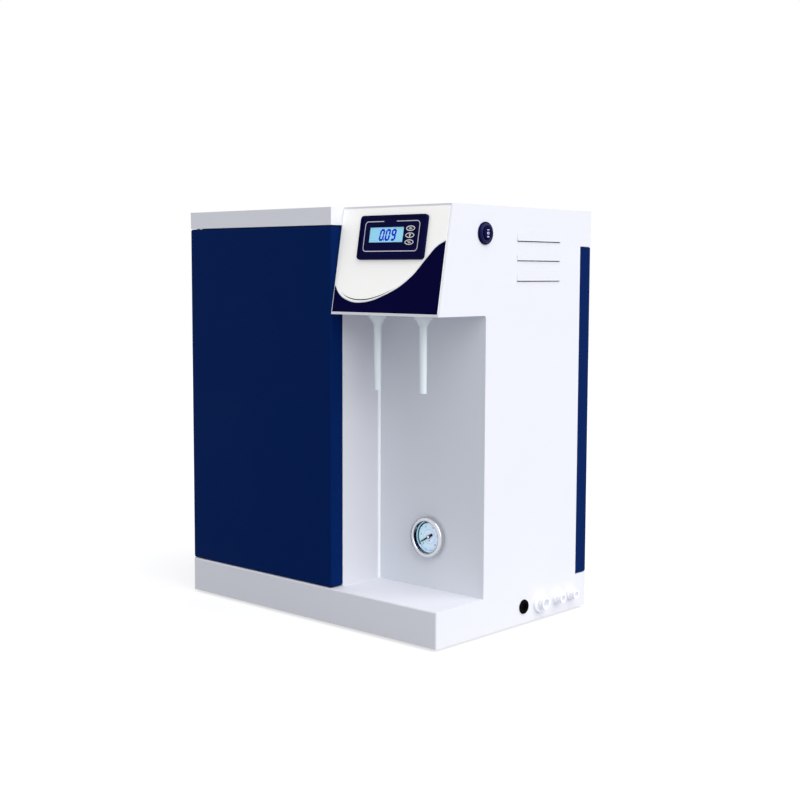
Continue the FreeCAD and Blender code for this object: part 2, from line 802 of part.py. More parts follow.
def gauge_glass_disc():
    return gauge_disc(gauge_case_r + gauge_clearance / 2, gauge_case_front, gauge_case_front + gauge_glass)


def gauge_dial():
    dial = gauge_disc(gauge_dial_r, gauge_dial_reach, gauge_dial_reach + gauge_dial_thickness)
    return dial.cut(gauge_disc(2 * spindle_r, 0, gauge_case_front))


def gauge_pointer():
    angle = math.radians(pointer_angle)
    along = V(math.cos(angle), 0, math.sin(angle))
    across = V(-math.sin(angle), 0, math.cos(angle))
    middle = V(gauge_x, bay_back - pointer_reach, gauge_z)
    tip = middle + along * pointer_length
    tail = middle - along * pointer_tail
    corners = [tail + across * pointer_width, tip + across * (pointer_tip_width / 2),
               tip - across * (pointer_tip_width / 2), tail - across * pointer_width]
    blade = Part.Face(Part.makePolygon(corners + corners[:1])).extrude(-Y_AXIS * pointer_thickness)
    hub = gauge_disc(pointer_hub_r, pointer_reach, pointer_reach + 2 * pointer_thickness)
    spindle = gauge_disc(spindle_r, movement_reach - movement_thickness, pointer_reach)
    return join(blade, hub, spindle)


def gauge_socket():
    stem_end = -gauge_case_depth - socket_length
    stem = gauge_disc(socket_r, stem_end, movement_reach - movement_thickness)
    plate = gauge_disc(movement_r, movement_reach - movement_thickness, movement_reach)
    middle = V(gauge_x, bay_back - (movement_reach - 2 * bourdon_tube_r - movement_thickness), gauge_z)
    coil = Part.makeTorus(bourdon_r, bourdon_tube_r, middle, Y_AXIS)
    foot = box(middle.x - bourdon_tube_r, middle.x + bourdon_tube_r, middle.y - bourdon_tube_r,
               middle.y + bourdon_tube_r, middle.z - bourdon_r, middle.z)
    pillars = []
    for side in (-1, 1):
        start = V(gauge_x + side * movement_r * 0.8, bay_back - movement_reach, gauge_z)
        pillars.append(cyl(spindle_r * 2, start, -Y_AXIS, gauge_dial_reach - movement_reach))
    body = join(stem, plate, coil, foot, *pillars)
    body = body.cut(gauge_disc(spindle_r + spindle_clearance, movement_reach - 2 * movement_thickness, 0))
    return body.cut(gauge_disc(socket_r / 2, stem_end, stem_end + socket_length / 2))


# Three quarter-turn cartridges under their heads, in front of the mounting panel
cartridge_r = 30.0
cartridge_drop = 145.0
cartridge_floor = 30.0
cartridge_round = 8.0
cartridge_neck_r = 18.0
cartridge_neck = 16.0
neck_clearance = 0.06
head_r = 26.0
head_block = 34.0
cartridge_pitch = 75.0
first_cartridge_x = 45.0
cartridge_y = 90.0
head_port_r = 6.0
head_port_reach = 33.0
head_port_rise = 26.0
hose_r = 3.2
rack_thickness = 3.0
cartridge_bottom = base_top + cartridge_floor
cartridge_top = cabinet_top - cartridge_drop
head_port_z = cartridge_top + head_port_rise
panel_face = front + mounting_panel_y
panel_rear = panel_face + sheet
cartridge_names = ("sediment", "carbon", "scale")
cartridge_xs = [left + first_cartridge_x + step * cartridge_pitch for step in range(3)]


def cartridge(x):
    body = cyl(cartridge_r, V(x, front + cartridge_y, cartridge_bottom), Z_AXIS,
               cartridge_top - cartridge_bottom)
    body = soften(body, cartridge_round, lambda c: True)
    neck = cyl(cartridge_neck_r, V(x, front + cartridge_y, cartridge_top - cartridge_round), Z_AXIS,
               cartridge_round + cartridge_neck)
    return join(body, neck)


def cartridge_heads():
    heads = []
    y = front + cartridge_y
    for index, x in enumerate(cartridge_xs):
        head = cyl(head_r, V(x, y, cartridge_top + seam), Z_AXIS, head_block)
        ports = []
        if index > 0:
            ports.append((V(x, y, head_port_z), -X_AXIS))
        if index < 2:
            ports.append((V(x, y, head_port_z), X_AXIS))
        if index != 1:
            ports.append((V(x, y, head_port_z), Y_AXIS))
        for start, axis in ports:
            head = head.fuse(cyl(head_port_r, start, axis, head_port_reach))
        neck_bore_r = cartridge_neck_r + neck_clearance
        socket = cyl(neck_bore_r, V(x, y, cartridge_top), Z_AXIS, cartridge_neck + seam)
        heads.append(head.removeSplitter().cut(socket))
    shelf_z = cartridge_top + seam + head_block
    x0 = cartridge_xs[0] - head_r
    x1 = cartridge_xs[2] + head_r
    shelf = box(x0, x1, y - head_r, panel_face, shelf_z, shelf_z + rack_thickness)
    apron = box(x0, x1, panel_face - rack_thickness, panel_face, shelf_z, shelf_z + 2 * head_r)
    return heads + [join(shelf, apron)]


# Membrane housing behind the mounting panel, and the polishing column behind the bay
membrane_r = 29.0
membrane_length = 230.0
membrane_x = 15.0
membrane_y = 190.0
membrane_drop = 65.0
membrane_cap_r = 32.0
membrane_cap_length = 25.0
column_r = 32.0
column_spacing = 40.0
column_y = 165.0
column_drop = 135.0
clip_width = 12.0
clip_wall = 3.0
column_clip_height = 230.0
probe_r = 9.0
probe_length = 26.0
probe_gland_r = 4.0
probe_gland = 8.0
membrane_z = cabinet_top - membrane_drop
membrane_end = left + membrane_x + membrane_length
membrane_port_x = membrane_end + membrane_cap_length / 2
column_x = membrane_end + membrane_cap_length + column_spacing
column_top = cabinet_top - column_drop


def membrane_housing():
    body = cyl(membrane_r, V(left + membrane_x, front + membrane_y, membrane_z), X_AXIS, membrane_length)
    return soften(body, cartridge_round, lambda c: c.x < left + membrane_x + seam)


def membrane_cap():
    cap = cyl(membrane_cap_r, V(membrane_end, front + membrane_y, membrane_z), X_AXIS, membrane_cap_length)
    return soften(cap, clip_wall, lambda c: c.x > membrane_end + membrane_cap_length - seam)


def polishing_cartridge():
    body = cyl(column_r, V(column_x, front + column_y, base_top), Z_AXIS, column_top - base_top)
    return soften(body, cartridge_round, lambda c: c.z > column_top - seam)


def conductivity_probe():
    body = cyl(probe_r, V(column_x, front + column_y, column_top), Z_AXIS, probe_length)
    gland = cyl(probe_gland_r, V(column_x, front + column_y, column_top + probe_length), Z_AXIS, probe_gland)
    return join(body, gland)


def filter_clips():
    clips = []
    for share in (0.2, 0.75):
        x = left + membrane_x + share * membrane_length
        middle = V(x, front + membrane_y, membrane_z)
        ring = cyl(membrane_r + seam + clip_wall, middle, X_AXIS, clip_width)
        low = middle.z - 2 * clip_wall
        stand = box(x, x + clip_width, panel_rear, middle.y, low, low + 4 * clip_wall)
        bore = cyl(membrane_r + seam, middle, X_AXIS, clip_width)
        clips.append(join(ring, stand).cut(bore))
    middle = V(column_x, front + column_y, base_top + column_clip_height)
    ring = cyl(column_r + seam + clip_wall, middle, Z_AXIS, clip_width)
    stand = box(middle.x - 2 * clip_wall, middle.x + 2 * clip_wall, bay_back + sheet, middle.y, middle.z,
                middle.z + clip_width)
    clips.append(join(ring, stand).cut(cyl(column_r + seam, middle, Z_AXIS, clip_width)))
    return clips


# Booster pump on its bracket
pump_x = 40.0
pump_y = 190.0
pump_height = 50.0
motor_r = 30.0
motor_length = 80.0
motor_wall = 3.0
bracket_sheet = 2.0
bracket_reach = 42.0
bracket_half_width = 24.0
pump_head_r = 32.0
pump_head_length = 45.0
shaft_r = 3.0
shaft_clearance = 0.04
rotor_r = 22.0
rotor_length = 52.0
bearing_depth = 18.0
pump_z = base_top + pump_height
motor_start = left + pump_x
motor_end = motor_start + motor_length
pump_head_start = motor_end + bracket_sheet


def pump_motor():
    middle = V(motor_start, front + pump_y, pump_z)
    can = cyl(motor_r, middle, X_AXIS, motor_length)
    can = soften(can, motor_wall, lambda c: c.x < motor_start + seam)
    can = can.cut(cyl(motor_r - motor_wall, middle + X_AXIS * (2 * motor_wall), X_AXIS, motor_length))
    return can.cut(cyl(shaft_r + shaft_clearance, middle + X_AXIS * motor_wall, X_AXIS, motor_wall))


def pump_rotor():
    middle = V(motor_start, front + pump_y, pump_z)
    shaft_start = motor_wall + seam
    shaft_end = motor_length + bracket_sheet + bearing_depth - seam
    shaft = cyl(shaft_r, middle + X_AXIS * shaft_start, X_AXIS, shaft_end - shaft_start)
    core = cyl(rotor_r, middle + X_AXIS * (4 * motor_wall), X_AXIS, rotor_length)
    return join(shaft, core)


def pump_bracket():
    y0 = front + pump_y - bracket_half_width
    y1 = front + pump_y + bracket_half_width
    x0 = motor_end - bracket_reach
    foot = box(x0, x0 + 2 * bracket_reach, y0, y1, base_top, base_top + bracket_sheet)
    plate = box(motor_end, motor_end + bracket_sheet, y0, y1, base_top, pump_z + motor_r)
    hole = cyl(2 * shaft_r, V(motor_end, front + pump_y, pump_z), X_AXIS, bracket_sheet)
    return join(foot, plate).cut(hole)


def pump_head():
    middle = V(pump_head_start, front + pump_y, pump_z)
    head = cyl(pump_head_r, middle, X_AXIS, pump_head_length)
    head = soften(head, motor_wall, lambda c: c.x > pump_head_start + pump_head_length - seam)
    return head.cut(cyl(shaft_r + shaft_clearance, middle, X_AXIS, bearing_depth))


# Inlet valve with its plunger, pressure switches, power supply and controller board
valve_x = 150.0
valve_height = 107.0
valve_half_width = 16.0
valve_depth = 30.0
valve_body_height = 20.0
coil_half_width = 13.0
coil_height = 32.0
plunger_r = 5.0
plunger_clearance = 0.05
plunger_length = 28.0
plunger_travel = 3.0
valve_port_rise = 12.0
valve_z = base_top + valve_height
pressure_switch_drop = 75.0
pressure_switch_pitch = 45.0
supply_x = 15.0
supply_width = 90.0
supply_height = 80.0
supply_depth = 45.0
supply_floor = 95.0
controller_drop = 125.0
controller_height = 70.0
board_standoff = 8.0
controller_thickness = 1.6
relay_size = 12.0
valve_y = panel_rear + valve_depth / 2


def solenoid_valve():
    x = left + valve_x
    body = box(x - valve_half_width, x + valve_half_width, panel_rear, panel_rear + valve_depth, valve_z,
               valve_z + valve_body_height)
    coil = rounded(x - coil_half_width, x + coil_half_width,
                   valve_y - coil_half_width, valve_y + coil_half_width,
                   valve_z + valve_body_height, valve_z + valve_body_height + coil_height, clip_wall)
    chamber = cyl(plunger_r + plunger_clearance, V(x, valve_y, valve_z + valve_port_rise), Z_AXIS,
                  plunger_length + plunger_travel + seam)
    return join(body, coil).cut(chamber)


def solenoid_plunger():
    start = V(left + valve_x, valve_y, valve_z + valve_port_rise)
    return cyl(plunger_r, start, Z_AXIS, plunger_length)


def pressure_switches():
    switches = []
    for drop in (pressure_switch_drop, pressure_switch_drop + pressure_switch_pitch):
        start = V(left + valve_x, panel_rear, membrane_z - drop)
        body = cyl(probe_r + clip_wall, start, Y_AXIS, 2 * probe_r)
        nipple = cyl(probe_gland_r, start + Y_AXIS * (2 * probe_r), Y_AXIS, probe_gland)
        switches.append(join(body, nipple))
    return switches


def power_supply():
    z0 = base_top + supply_floor
    x0 = left + supply_x
    case = box(x0, x0 + supply_width, panel_rear, panel_rear + supply_depth, z0, z0 + supply_height)
    case = soften(case, sheet, lambda c: c.y > panel_rear + seam)
    rear = panel_rear + supply_depth
    slot_foot = z0 + clip_width
    slot_head = z0 + supply_height - clip_width
    for step in range(8):
        slot_x = x0 + supply_width * (step + 1.5) / 10
        case = case.cut(box(slot_x, slot_x + clip_wall, rear - sheet, rear, slot_foot, slot_head))
    return case


def controller_board():
    z0 = membrane_z - controller_drop
    x0 = left + supply_x
    y0 = panel_rear + board_standoff
    y1 = y0 + controller_thickness
    board = box(x0, x0 + supply_width, y0, y1, z0, z0 + controller_height)
    for x in (x0 + 2 * screw_r, x0 + supply_width - 2 * screw_r):
        for z in (z0 + 2 * screw_r, z0 + controller_height - 2 * screw_r):
            board = board.fuse(cyl(screw_r, V(x, panel_rear, z), Y_AXIS, board_standoff))
    for step in range(4):
        relay_x = x0 + relay_size + step * 1.6 * relay_size
        relay_z = z0 + relay_size
        relay = box(relay_x, relay_x + relay_size, y1, y1 + relay_size, relay_z, relay_z + 1.5 * relay_size)
        capacitor_place = V(relay_x + relay_size / 2, y1, z0 + 4 * relay_size)
        board = board.fuse(relay).fuse(cyl(relay_size / 3, capacitor_place, Y_AXIS, relay_size))
    return board.removeSplitter()


# Inner tubing: straight runs joined by tangent arcs
hose_bend = 12.0
elbow_share = 0.45
behind_cartridges = 15.0
crossing_rise = 20.0


def hose(points):
    """A tube of the inner hose's radius along the points, with each corner rounded."""
    points = [V(*point) for point in points]
    edges = []
    here = points[0]
    for before, corner, after in zip(points, points[1:], points[2:]):
        arriving = corner - before
        leaving = after - corner
        cut = min(hose_bend, elbow_share * arriving.Length, elbow_share * leaving.Length)
        start = corner - arriving.normalize() * cut
        end = corner + leaving.normalize() * cut
        bisector = (end - corner) + (start - corner)
        mid = corner + bisector * (1 - 1 / math.sqrt(2))
        edges.append(Part.LineSegment(here, start).toShape())
        edges.append(Part.Arc(start, mid, end).toShape())
        here = end
    edges.append(Part.LineSegment(here, points[-1]).toShape())
    path = Part.Wire(edges)
    direction = points[1] - points[0]
    ring = Part.Wire(Part.makeCircle(hose_r, points[0], direction))
    return path.makePipeShell([ring], True, False)


def inner_tubing():
    cartridge_line = front + cartridge_y
    valve_port_z = valve_z + valve_port_rise
    valve_left = left + valve_x - valve_half_width
    valve_right = left + valve_x + valve_half_width
    slot_x = hose_slot_x + hose_slot_width / 2
    slot_y = hose_slot_y + hose_slot_depth / 2
    riser_x = left + valve_x + 3 * valve_half_width + port_barrel
    passage_x = left + valve_x - 2 * valve_half_width
    behind = panel_face - behind_cartridges
    first_x, last_x = cartridge_xs[0], cartridge_xs[2]
    head_back = cartridge_line + head_port_reach
    pump_line = front + pump_y
    pump_top_x = pump_head_start + pump_head_length / 2
    pump_end = pump_head_start + pump_head_length
    membrane_line = front + membrane_y
    cap_end = membrane_end + membrane_cap_length
    column_line = front + column_y
    nozzle_top = head_bottom + nozzle_stem
    left_x, nozzle_line = nozzle_places[0]
    right_x = nozzle_places[1][0]
    outlet_z = column_top - clip_width
    crossing_z = nozzle_top + crossing_rise
    socket_y = bay_back + gauge_case_depth + socket_length
    runs = []
    for x0, x1 in zip(cartridge_xs, cartridge_xs[1:]):
        runs.append([(x0 + head_port_reach, cartridge_line, head_port_z),
                     (x1 - head_port_reach, cartridge_line, head_port_z)])
    feed_to_valve = [(right - port_barrel, feed_port_y, port_z), (slot_x, feed_port_y, port_z),
                     (slot_x, slot_y, port_z), (slot_x, slot_y, valve_port_z),
                     (riser_x, slot_y, valve_port_z), (riser_x, valve_y, valve_port_z),
                     (valve_right, valve_y, valve_port_z)]
    valve_to_cartridges = [(valve_left, valve_y, valve_port_z), (passage_x, valve_y, valve_port_z),
                           (passage_x, behind, valve_port_z), (first_x, behind, valve_port_z),
                           (first_x, behind, head_port_z), (first_x, head_back, head_port_z)]
    cartridges_to_pump = [(last_x, head_back, head_port_z), (last_x, pump_line, head_port_z),
                          (last_x, pump_line, pump_z), (pump_end, pump_line, pump_z)]
    pump_to_membrane = [(pump_top_x, pump_line, pump_z + pump_head_r),
                        (pump_top_x, membrane_line, membrane_z - membrane_r)]
    membrane_to_column = [(cap_end, membrane_line, membrane_z), (column_x, membrane_line, membrane_z),
                          (column_x, column_line, membrane_z),
                          (column_x, column_line, column_top + probe_length + probe_gland)]
    membrane_to_nozzle = [(membrane_port_x, membrane_line - membrane_cap_r, membrane_z),
                          (membrane_port_x, nozzle_line, membrane_z), (left_x, nozzle_line, membrane_z),
                          (left_x, nozzle_line, nozzle_top)]
    outlet_y = column_line - column_r
    rise_y = outlet_y - port_barrel
    column_to_nozzle = [(column_x, outlet_y, outlet_z), (column_x, rise_y, outlet_z),
                        (column_x, rise_y, crossing_z), (right_x, rise_y, crossing_z),
                        (right_x, nozzle_line, crossing_z), (right_x, nozzle_line, nozzle_top)]
    elbow_y = socket_y + elbow_reach
    gauge_line = [(gauge_x, socket_y, gauge_z), (gauge_x, elbow_y, gauge_z),
                  (membrane_port_x, elbow_y, gauge_z), (membrane_port_x, membrane_line, gauge_z),
                  (membrane_port_x, membrane_line, membrane_z - membrane_cap_r)]
    runs += [feed_to_valve, valve_to_cartridges, cartridges_to_pump, pump_to_membrane, membrane_to_column,
             membrane_to_nozzle, column_to_nozzle, gauge_line]
    return [hose(points) for points in runs]


def hose_hole(x, z):
    return cyl(hose_r + seam, V(x, panel_face, z), Y_AXIS, sheet)


def drilled_mounting_panel():
    panel = mounting_panel()
    panel = panel.cut(hose_hole(left + valve_x - 2 * valve_half_width, valve_z + valve_port_rise))
    return panel.cut(hose_hole(cartridge_xs[2], head_port_z))


def case_screws():
    screws = [screw(V(x, back, z), -Y_AXIS) for x, z in rear_screw_places]
    for x, y in foot_places:
        screws.append(screw(V(x, y, screw_head + foot_screw_recess), Z_AXIS))
    return screws


save("base_plinth", base_plinth())
save("rubber_feet", rubber_feet())
save("case_screws", case_screws())
save("left_side_panel", left_side_panel())
save("right_side_panel", right_side_panel())
save("top_cover", top_cover())
save("rear_cover", rear_cover())
save("bay_side_wall", bay_side_wall())
save("bay_back_panel", bay_back_panel())
save("head_underside", head_underside())
save("mounting_panel", drilled_mounting_panel())
save("front_door", front_door())
save("hinge_pins", hinge_pins())
save("hinge_brackets", hinge_brackets())
save("door_magnets", door_magnets())
save("control_panel", control_panel())
save("panel_overlay", panel_overlay())
save("meter_bezel", meter_bezel())
save("meter_case", meter_case())
save("meter_board", meter_board())
save("lcd_module", lcd_module())
save("display_window", display_window())
for button_name in button_ys:
    save(button_name + "_button", meter_button(button_name))
save("left_nozzle", nozzle(nozzle_places[0]))
save("right_nozzle", nozzle(nozzle_places[1]))
save("gauge_case", gauge_case())
save("gauge_bezel", gauge_bezel())
save("gauge_glass", gauge_glass_disc())
save("gauge_dial", gauge_dial())
save("gauge_pointer", gauge_pointer())
save("gauge_socket", gauge_socket())
save("switch_body", switch_body())
save("switch_cap", switch_cap())
save("cable_grommet", cable_grommet())
save("hose_ports", [hose_port(name) for name in hose_ports])
for port_name in hose_ports:
    save(port_name + "_collet", collet(port_name))
save("panel_nuts", panel_nuts())
save("cartridge_heads", cartridge_heads())
for cartridge_name, cartridge_x in zip(cartridge_names, cartridge_xs):
    save(cartridge_name + "_cartridge", cartridge(cartridge_x))
save("membrane_housing", membrane_housing())
save("membrane_cap", membrane_cap())
save("polishing_cartridge", polishing_cartridge())
save("conductivity_probe", conductivity_probe())
save("filter_clips", filter_clips())
save("pump_bracket", pump_bracket())
save("pump_motor", pump_motor())
save("pump_rotor", pump_rotor())
save("pump_head", pump_head())
save("solenoid_valve", solenoid_valve())
save("solenoid_plunger", solenoid_plunger())
save("pressure_switches", pressure_switches())
save("power_supply", power_supply())
save("controller_board", controller_board())
save("inner_tubing", inner_tubing())
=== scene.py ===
# %% [markdown]
# # A bench-top ultrapure water system
# The cabinet is sheet metal: a white case, a navy front door, a sloping control panel with a meter, and a
# dispensing bay with two nozzles and a gauge. Its solids come ready made as a fixed frame. This lesson adds
# what gives it its looks: the camera, the light, the finishes, the prints and the small turned pieces.

# %% Load the frame
import json
import math

import bmesh
import bpy
from mathutils import Matrix, Vector


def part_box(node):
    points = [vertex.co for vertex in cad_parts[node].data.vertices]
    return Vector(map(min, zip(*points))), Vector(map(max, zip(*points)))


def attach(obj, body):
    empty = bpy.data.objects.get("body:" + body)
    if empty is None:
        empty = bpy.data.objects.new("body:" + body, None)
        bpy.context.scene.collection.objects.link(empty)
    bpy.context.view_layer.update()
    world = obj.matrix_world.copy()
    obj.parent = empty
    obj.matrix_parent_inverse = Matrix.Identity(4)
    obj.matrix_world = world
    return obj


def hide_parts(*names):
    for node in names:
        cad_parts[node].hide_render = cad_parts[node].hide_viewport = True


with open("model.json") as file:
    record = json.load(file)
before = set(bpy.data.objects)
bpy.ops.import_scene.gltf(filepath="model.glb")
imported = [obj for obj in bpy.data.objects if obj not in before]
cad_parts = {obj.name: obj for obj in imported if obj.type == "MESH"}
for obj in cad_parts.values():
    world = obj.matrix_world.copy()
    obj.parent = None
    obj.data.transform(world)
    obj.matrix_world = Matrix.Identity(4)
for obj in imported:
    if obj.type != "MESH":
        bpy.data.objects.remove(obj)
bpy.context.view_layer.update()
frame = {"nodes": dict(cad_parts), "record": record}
mm = 0.001
print("solids in the frame:", len(frame["nodes"]))

# %% [markdown]
# ## Camera
# The product stands turned about 43 degrees from the viewer, with the lens a little below its top, so the
# top face is not seen. A long lens from 1.6 m keeps the upright edges nearly parallel. The camera's axes
# are worked out from its turn, tilt and roll, because a matrix says exactly where each axis points.

# %% Camera
turn, tilt, roll = (math.radians(a) for a in (-42.61, -5.42, 0.19))
sight = Vector((math.sin(turn) * math.cos(tilt), math.cos(turn) * math.cos(tilt), math.sin(tilt)))
level = Vector((math.cos(turn), -math.sin(turn), 0))
upright = level.cross(sight)
camera_right = level * math.cos(roll) + upright * math.sin(roll)
camera_up = upright * math.cos(roll) - level * math.sin(roll)
view_axes = Matrix((camera_right, camera_up, -sight)).transposed().to_4x4()

camera_place = (1.0984, -1.1749, 0.3967)
lens_length, sensor_width = 60.46, 36
bpy.ops.object.select_all(action="DESELECT")
bpy.ops.object.camera_add()
camera = bpy.context.object
camera.matrix_world = Matrix.Translation(camera_place) @ view_axes
camera.data.lens = lens_length
camera.data.sensor_width = sensor_width
bpy.context.scene.camera = camera
bpy.context.scene.view_settings.view_transform = "Standard"
print("camera at", tuple(round(v, 3) for v in camera.matrix_world.translation))

# %% [markdown]
# ## Studio
# The photograph is a cut-out on white. A floor and a world that look white only to the camera and in
# reflections give that ground without pouring extra light on the product. The lamp is one very wide sun
# from the right, so the right side is bright, the front is half bright, and no shadow has a hard edge.

# %% World, lamp and floor
def light_path_mask(nodes, links):
    """1 for rays of the camera, of reflections and of glass, otherwise 0."""
    path = nodes.new("ShaderNodeLightPath")
    seen = None
    for ray in ("Is Glossy Ray", "Is Transmission Ray"):
        pair = nodes.new("ShaderNodeMath")
        pair.operation = "MAXIMUM"
        links.new(seen or path.outputs["Is Camera Ray"], pair.inputs[0])
        links.new(path.outputs[ray], pair.inputs[1])
        seen = pair.outputs[0]
    return seen


def light_world(ambient):
    world = bpy.data.worlds.new("studio")
    bpy.context.scene.world = world
    world.use_nodes = True
    nodes, links = world.node_tree.nodes, world.node_tree.links
    pick_colour = nodes.new("ShaderNodeMix")
    pick_colour.data_type = "RGBA"
    pick_colour.inputs["A"].default_value = (*ambient, 1)
    pick_colour.inputs["B"].default_value = (1, 1, 1, 1)
    links.new(light_path_mask(nodes, links), pick_colour.inputs["Factor"])
    links.new(pick_colour.outputs["Result"], nodes["Background"].inputs["Color"])


sky_tone = (0.50, 0.51, 0.54)
sun_energy, sun_spread = 2.5, math.radians(80)
towards_sun = Vector((0.80, -0.02, 0.73))
floor_size, floor_tone, floor_light = 8, (0.42, 0.42, 0.43, 1), (0.68, 0.68, 0.68, 1)
light_world(ambient=sky_tone)
bpy.ops.object.light_add(type="SUN")
sun = bpy.context.object
sun.data.energy = sun_energy
sun.data.angle = sun_spread
sun.matrix_world = towards_sun.to_track_quat("Z", "Y").to_matrix().to_4x4()

bpy.ops.object.select_all(action="DESELECT")
bpy.ops.mesh.primitive_plane_add(size=floor_size)
floor = bpy.context.object
floor.name = "studio_floor"
ground = bpy.data.materials.new("floor_white")
ground.use_nodes = True
nodes, links = ground.node_tree.nodes, ground.node_tree.links
paper = nodes["Principled BSDF"]
paper.inputs["Roughness"].default_value = 1
paper.inputs["Specular IOR Level"].default_value = 0
paper.inputs["Base Color"].default_value = floor_tone
paper.inputs["Emission Strength"].default_value = 1
glow = nodes.new("ShaderNodeMix")
glow.data_type = "RGBA"
glow.inputs["A"].default_value = (0, 0, 0, 1)
glow.inputs["B"].default_value = floor_light
links.new(light_path_mask(nodes, links), glow.inputs["Factor"])
links.new(glow.outputs["Result"], paper.inputs["Emission Color"])
floor.data.materials.append(ground)
print("studio: world, sun and floor")

# %% [markdown]
# ## Surface effects
# Real finishes are never one flat colour. Powder coat has a fine orange-peel skin and faint cloudy patches,
# brushed metal has lines along one direction, and moulded plastic has a fine matt grain. Each effect is a
# node group with named inputs, so every material can place it with its own scale. All of them read the
# object's own coordinates, so a pattern stays put when a piece moves.

# %% Node groups for coat, brushing and clouds
def effect_group(name, inputs, outputs):
    group = bpy.data.node_groups.new(name, "ShaderNodeTree")
    for socket, value in inputs.items():
        opening = group.interface.new_socket(socket, in_out="INPUT", socket_type="NodeSocketFloat")
        opening.default_value = value
    for socket in outputs:
        group.interface.new_socket(socket, in_out="OUTPUT", socket_type="NodeSocketFloat")
    return group, group.nodes.new("NodeGroupInput"), group.nodes.new("NodeGroupOutput")


def noise_on(group, coordinate, scale, detail):
    noise = group.nodes.new("ShaderNodeTexNoise")
    noise.inputs["Detail"].default_value = detail
    group.links.new(coordinate, noise.inputs["Vector"])
    group.links.new(scale, noise.inputs["Scale"])
    return noise.outputs["Fac"]


def build_coat_skin():
    """Fine skin height, and slow clouds that tint the coat and change its gloss."""
    group, given, result = effect_group("coat_skin", {"Skin Scale": 900, "Cloud Scale": 9}, ("Skin", "Cloud"))
    place = group.nodes.new("ShaderNodeTexCoord").outputs["Object"]
    group.links.new(noise_on(group, place, given.outputs["Skin Scale"], 2), result.inputs["Skin"])
    group.links.new(noise_on(group, place, given.outputs["Cloud Scale"], 4), result.inputs["Cloud"])
    return group


def build_brushing():
    """Long thin lines: a noise squeezed on two axes and stretched along the third."""
    group, given, result = effect_group("brushing", {"Line Scale": 900, "Stretch": 0.02}, ("Lines", "Cloud"))
    place = group.nodes.new("ShaderNodeTexCoord").outputs["Object"]
    stretched = group.nodes.new("ShaderNodeCombineXYZ")
    split = group.nodes.new("ShaderNodeSeparateXYZ")
    along = group.nodes.new("ShaderNodeMath")
    along.operation = "MULTIPLY"
    group.links.new(place, split.inputs[0])
    group.links.new(split.outputs["X"], along.inputs[0])
    group.links.new(given.outputs["Stretch"], along.inputs[1])
    group.links.new(along.outputs[0], stretched.inputs["X"])
    group.links.new(split.outputs["Y"], stretched.inputs["Y"])
    group.links.new(split.outputs["Z"], stretched.inputs["Z"])
    lines = noise_on(group, stretched.outputs[0], given.outputs["Line Scale"], 3)
    group.links.new(lines, result.inputs["Lines"])
    cloud_scale = group.nodes.new("ShaderNodeValue")
    cloud_scale.outputs[0].default_value = 14
    group.links.new(noise_on(group, place, cloud_scale.outputs[0], 3), result.inputs["Cloud"])
    return group


coat_skin = build_coat_skin()
brushing = build_brushing()
print("effects:", coat_skin.name, brushing.name)

# %% [markdown]
# ## Finishes
# One maker covers coats, plastics and metals: two close tones mixed by the clouds, a roughness that follows
# the same clouds, and the fine skin as bump. The numbers that are the same all over are typed straight
# on the Principled shader, because only those survive an export.

# %% The maker of solid finishes
def new_finish(name):
    finish = bpy.data.materials.new(name)
    finish.use_nodes = True
    return finish, finish.node_tree.nodes, finish.node_tree.links, finish.node_tree.nodes["Principled BSDF"]


def place_effect(nodes, group, values):
    effect = nodes.new("ShaderNodeGroup")
    effect.node_tree = group
    for socket, value in values.items():
        effect.inputs[socket].default_value = value
    return effect


def add_bump(nodes, links, shader, height, strength, depth):
    bump = nodes.new("ShaderNodeBump")
    bump.inputs["Strength"].default_value = strength
    bump.inputs["Distance"].default_value = depth
    links.new(height, bump.inputs["Height"])
    links.new(bump.outputs["Normal"], shader.inputs["Normal"])


def spread(nodes, links, factor, low, high):
    """Turn a 0 to 1 mask into a value between low and high."""
    ramp = nodes.new("ShaderNodeMapRange")
    ramp.inputs["From Min"].default_value = 0.3
    ramp.inputs["From Max"].default_value = 0.7
    ramp.inputs["To Min"].default_value = low
    ramp.inputs["To Max"].default_value = high
    links.new(factor, ramp.inputs["Value"])
    return ramp.outputs["Result"]


def two_tones(nodes, links, factor, dark, light):
    mix = nodes.new("ShaderNodeMix")
    mix.data_type = "RGBA"
    mix.inputs["A"].default_value = (*dark, 1)
    mix.inputs["B"].default_value = (*light, 1)
    links.new(factor, mix.inputs["Factor"])
    return mix.outputs["Result"]


coat_clouds = 9


def solid_finish(name, dark, light, rough, skin_scale=900, strength=0.15, depth=0.0002, metal=0.0, coat=0.0,
                 brushed=False, see_through=0.0, shine=0.5, glow=0.0):
    finish, nodes, links, shader = new_finish(name)
    if brushed:
        effect = place_effect(nodes, brushing, {"Line Scale": skin_scale, "Stretch": 0.02})
        height = effect.outputs["Lines"]
    else:
        effect = place_effect(nodes, coat_skin, {"Skin Scale": skin_scale, "Cloud Scale": coat_clouds})
        height = effect.outputs["Skin"]
    tone = two_tones(nodes, links, effect.outputs["Cloud"], dark, light)
    links.new(tone, shader.inputs["Base Color"])
    links.new(spread(nodes, links, effect.outputs["Cloud"], rough[0], rough[1]), shader.inputs["Roughness"])
    shader.inputs["Metallic"].default_value = metal
    shader.inputs["Specular IOR Level"].default_value = shine
    shader.inputs["Coat Weight"].default_value = coat
    shader.inputs["Coat Roughness"].default_value = 0.12
    shader.inputs["Transmission Weight"].default_value = see_through
    # Glow is painted light: the surface gives off light of its own colour though it is no lamp.
    if glow:
        links.new(tone, shader.inputs["Emission Color"])
        shader.inputs["Emission Strength"].default_value = glow
    add_bump(nodes, links, shader, height, strength, depth)
    return finish


print("makers: solid_finish, with two tones, a bump and a few uniform numbers")

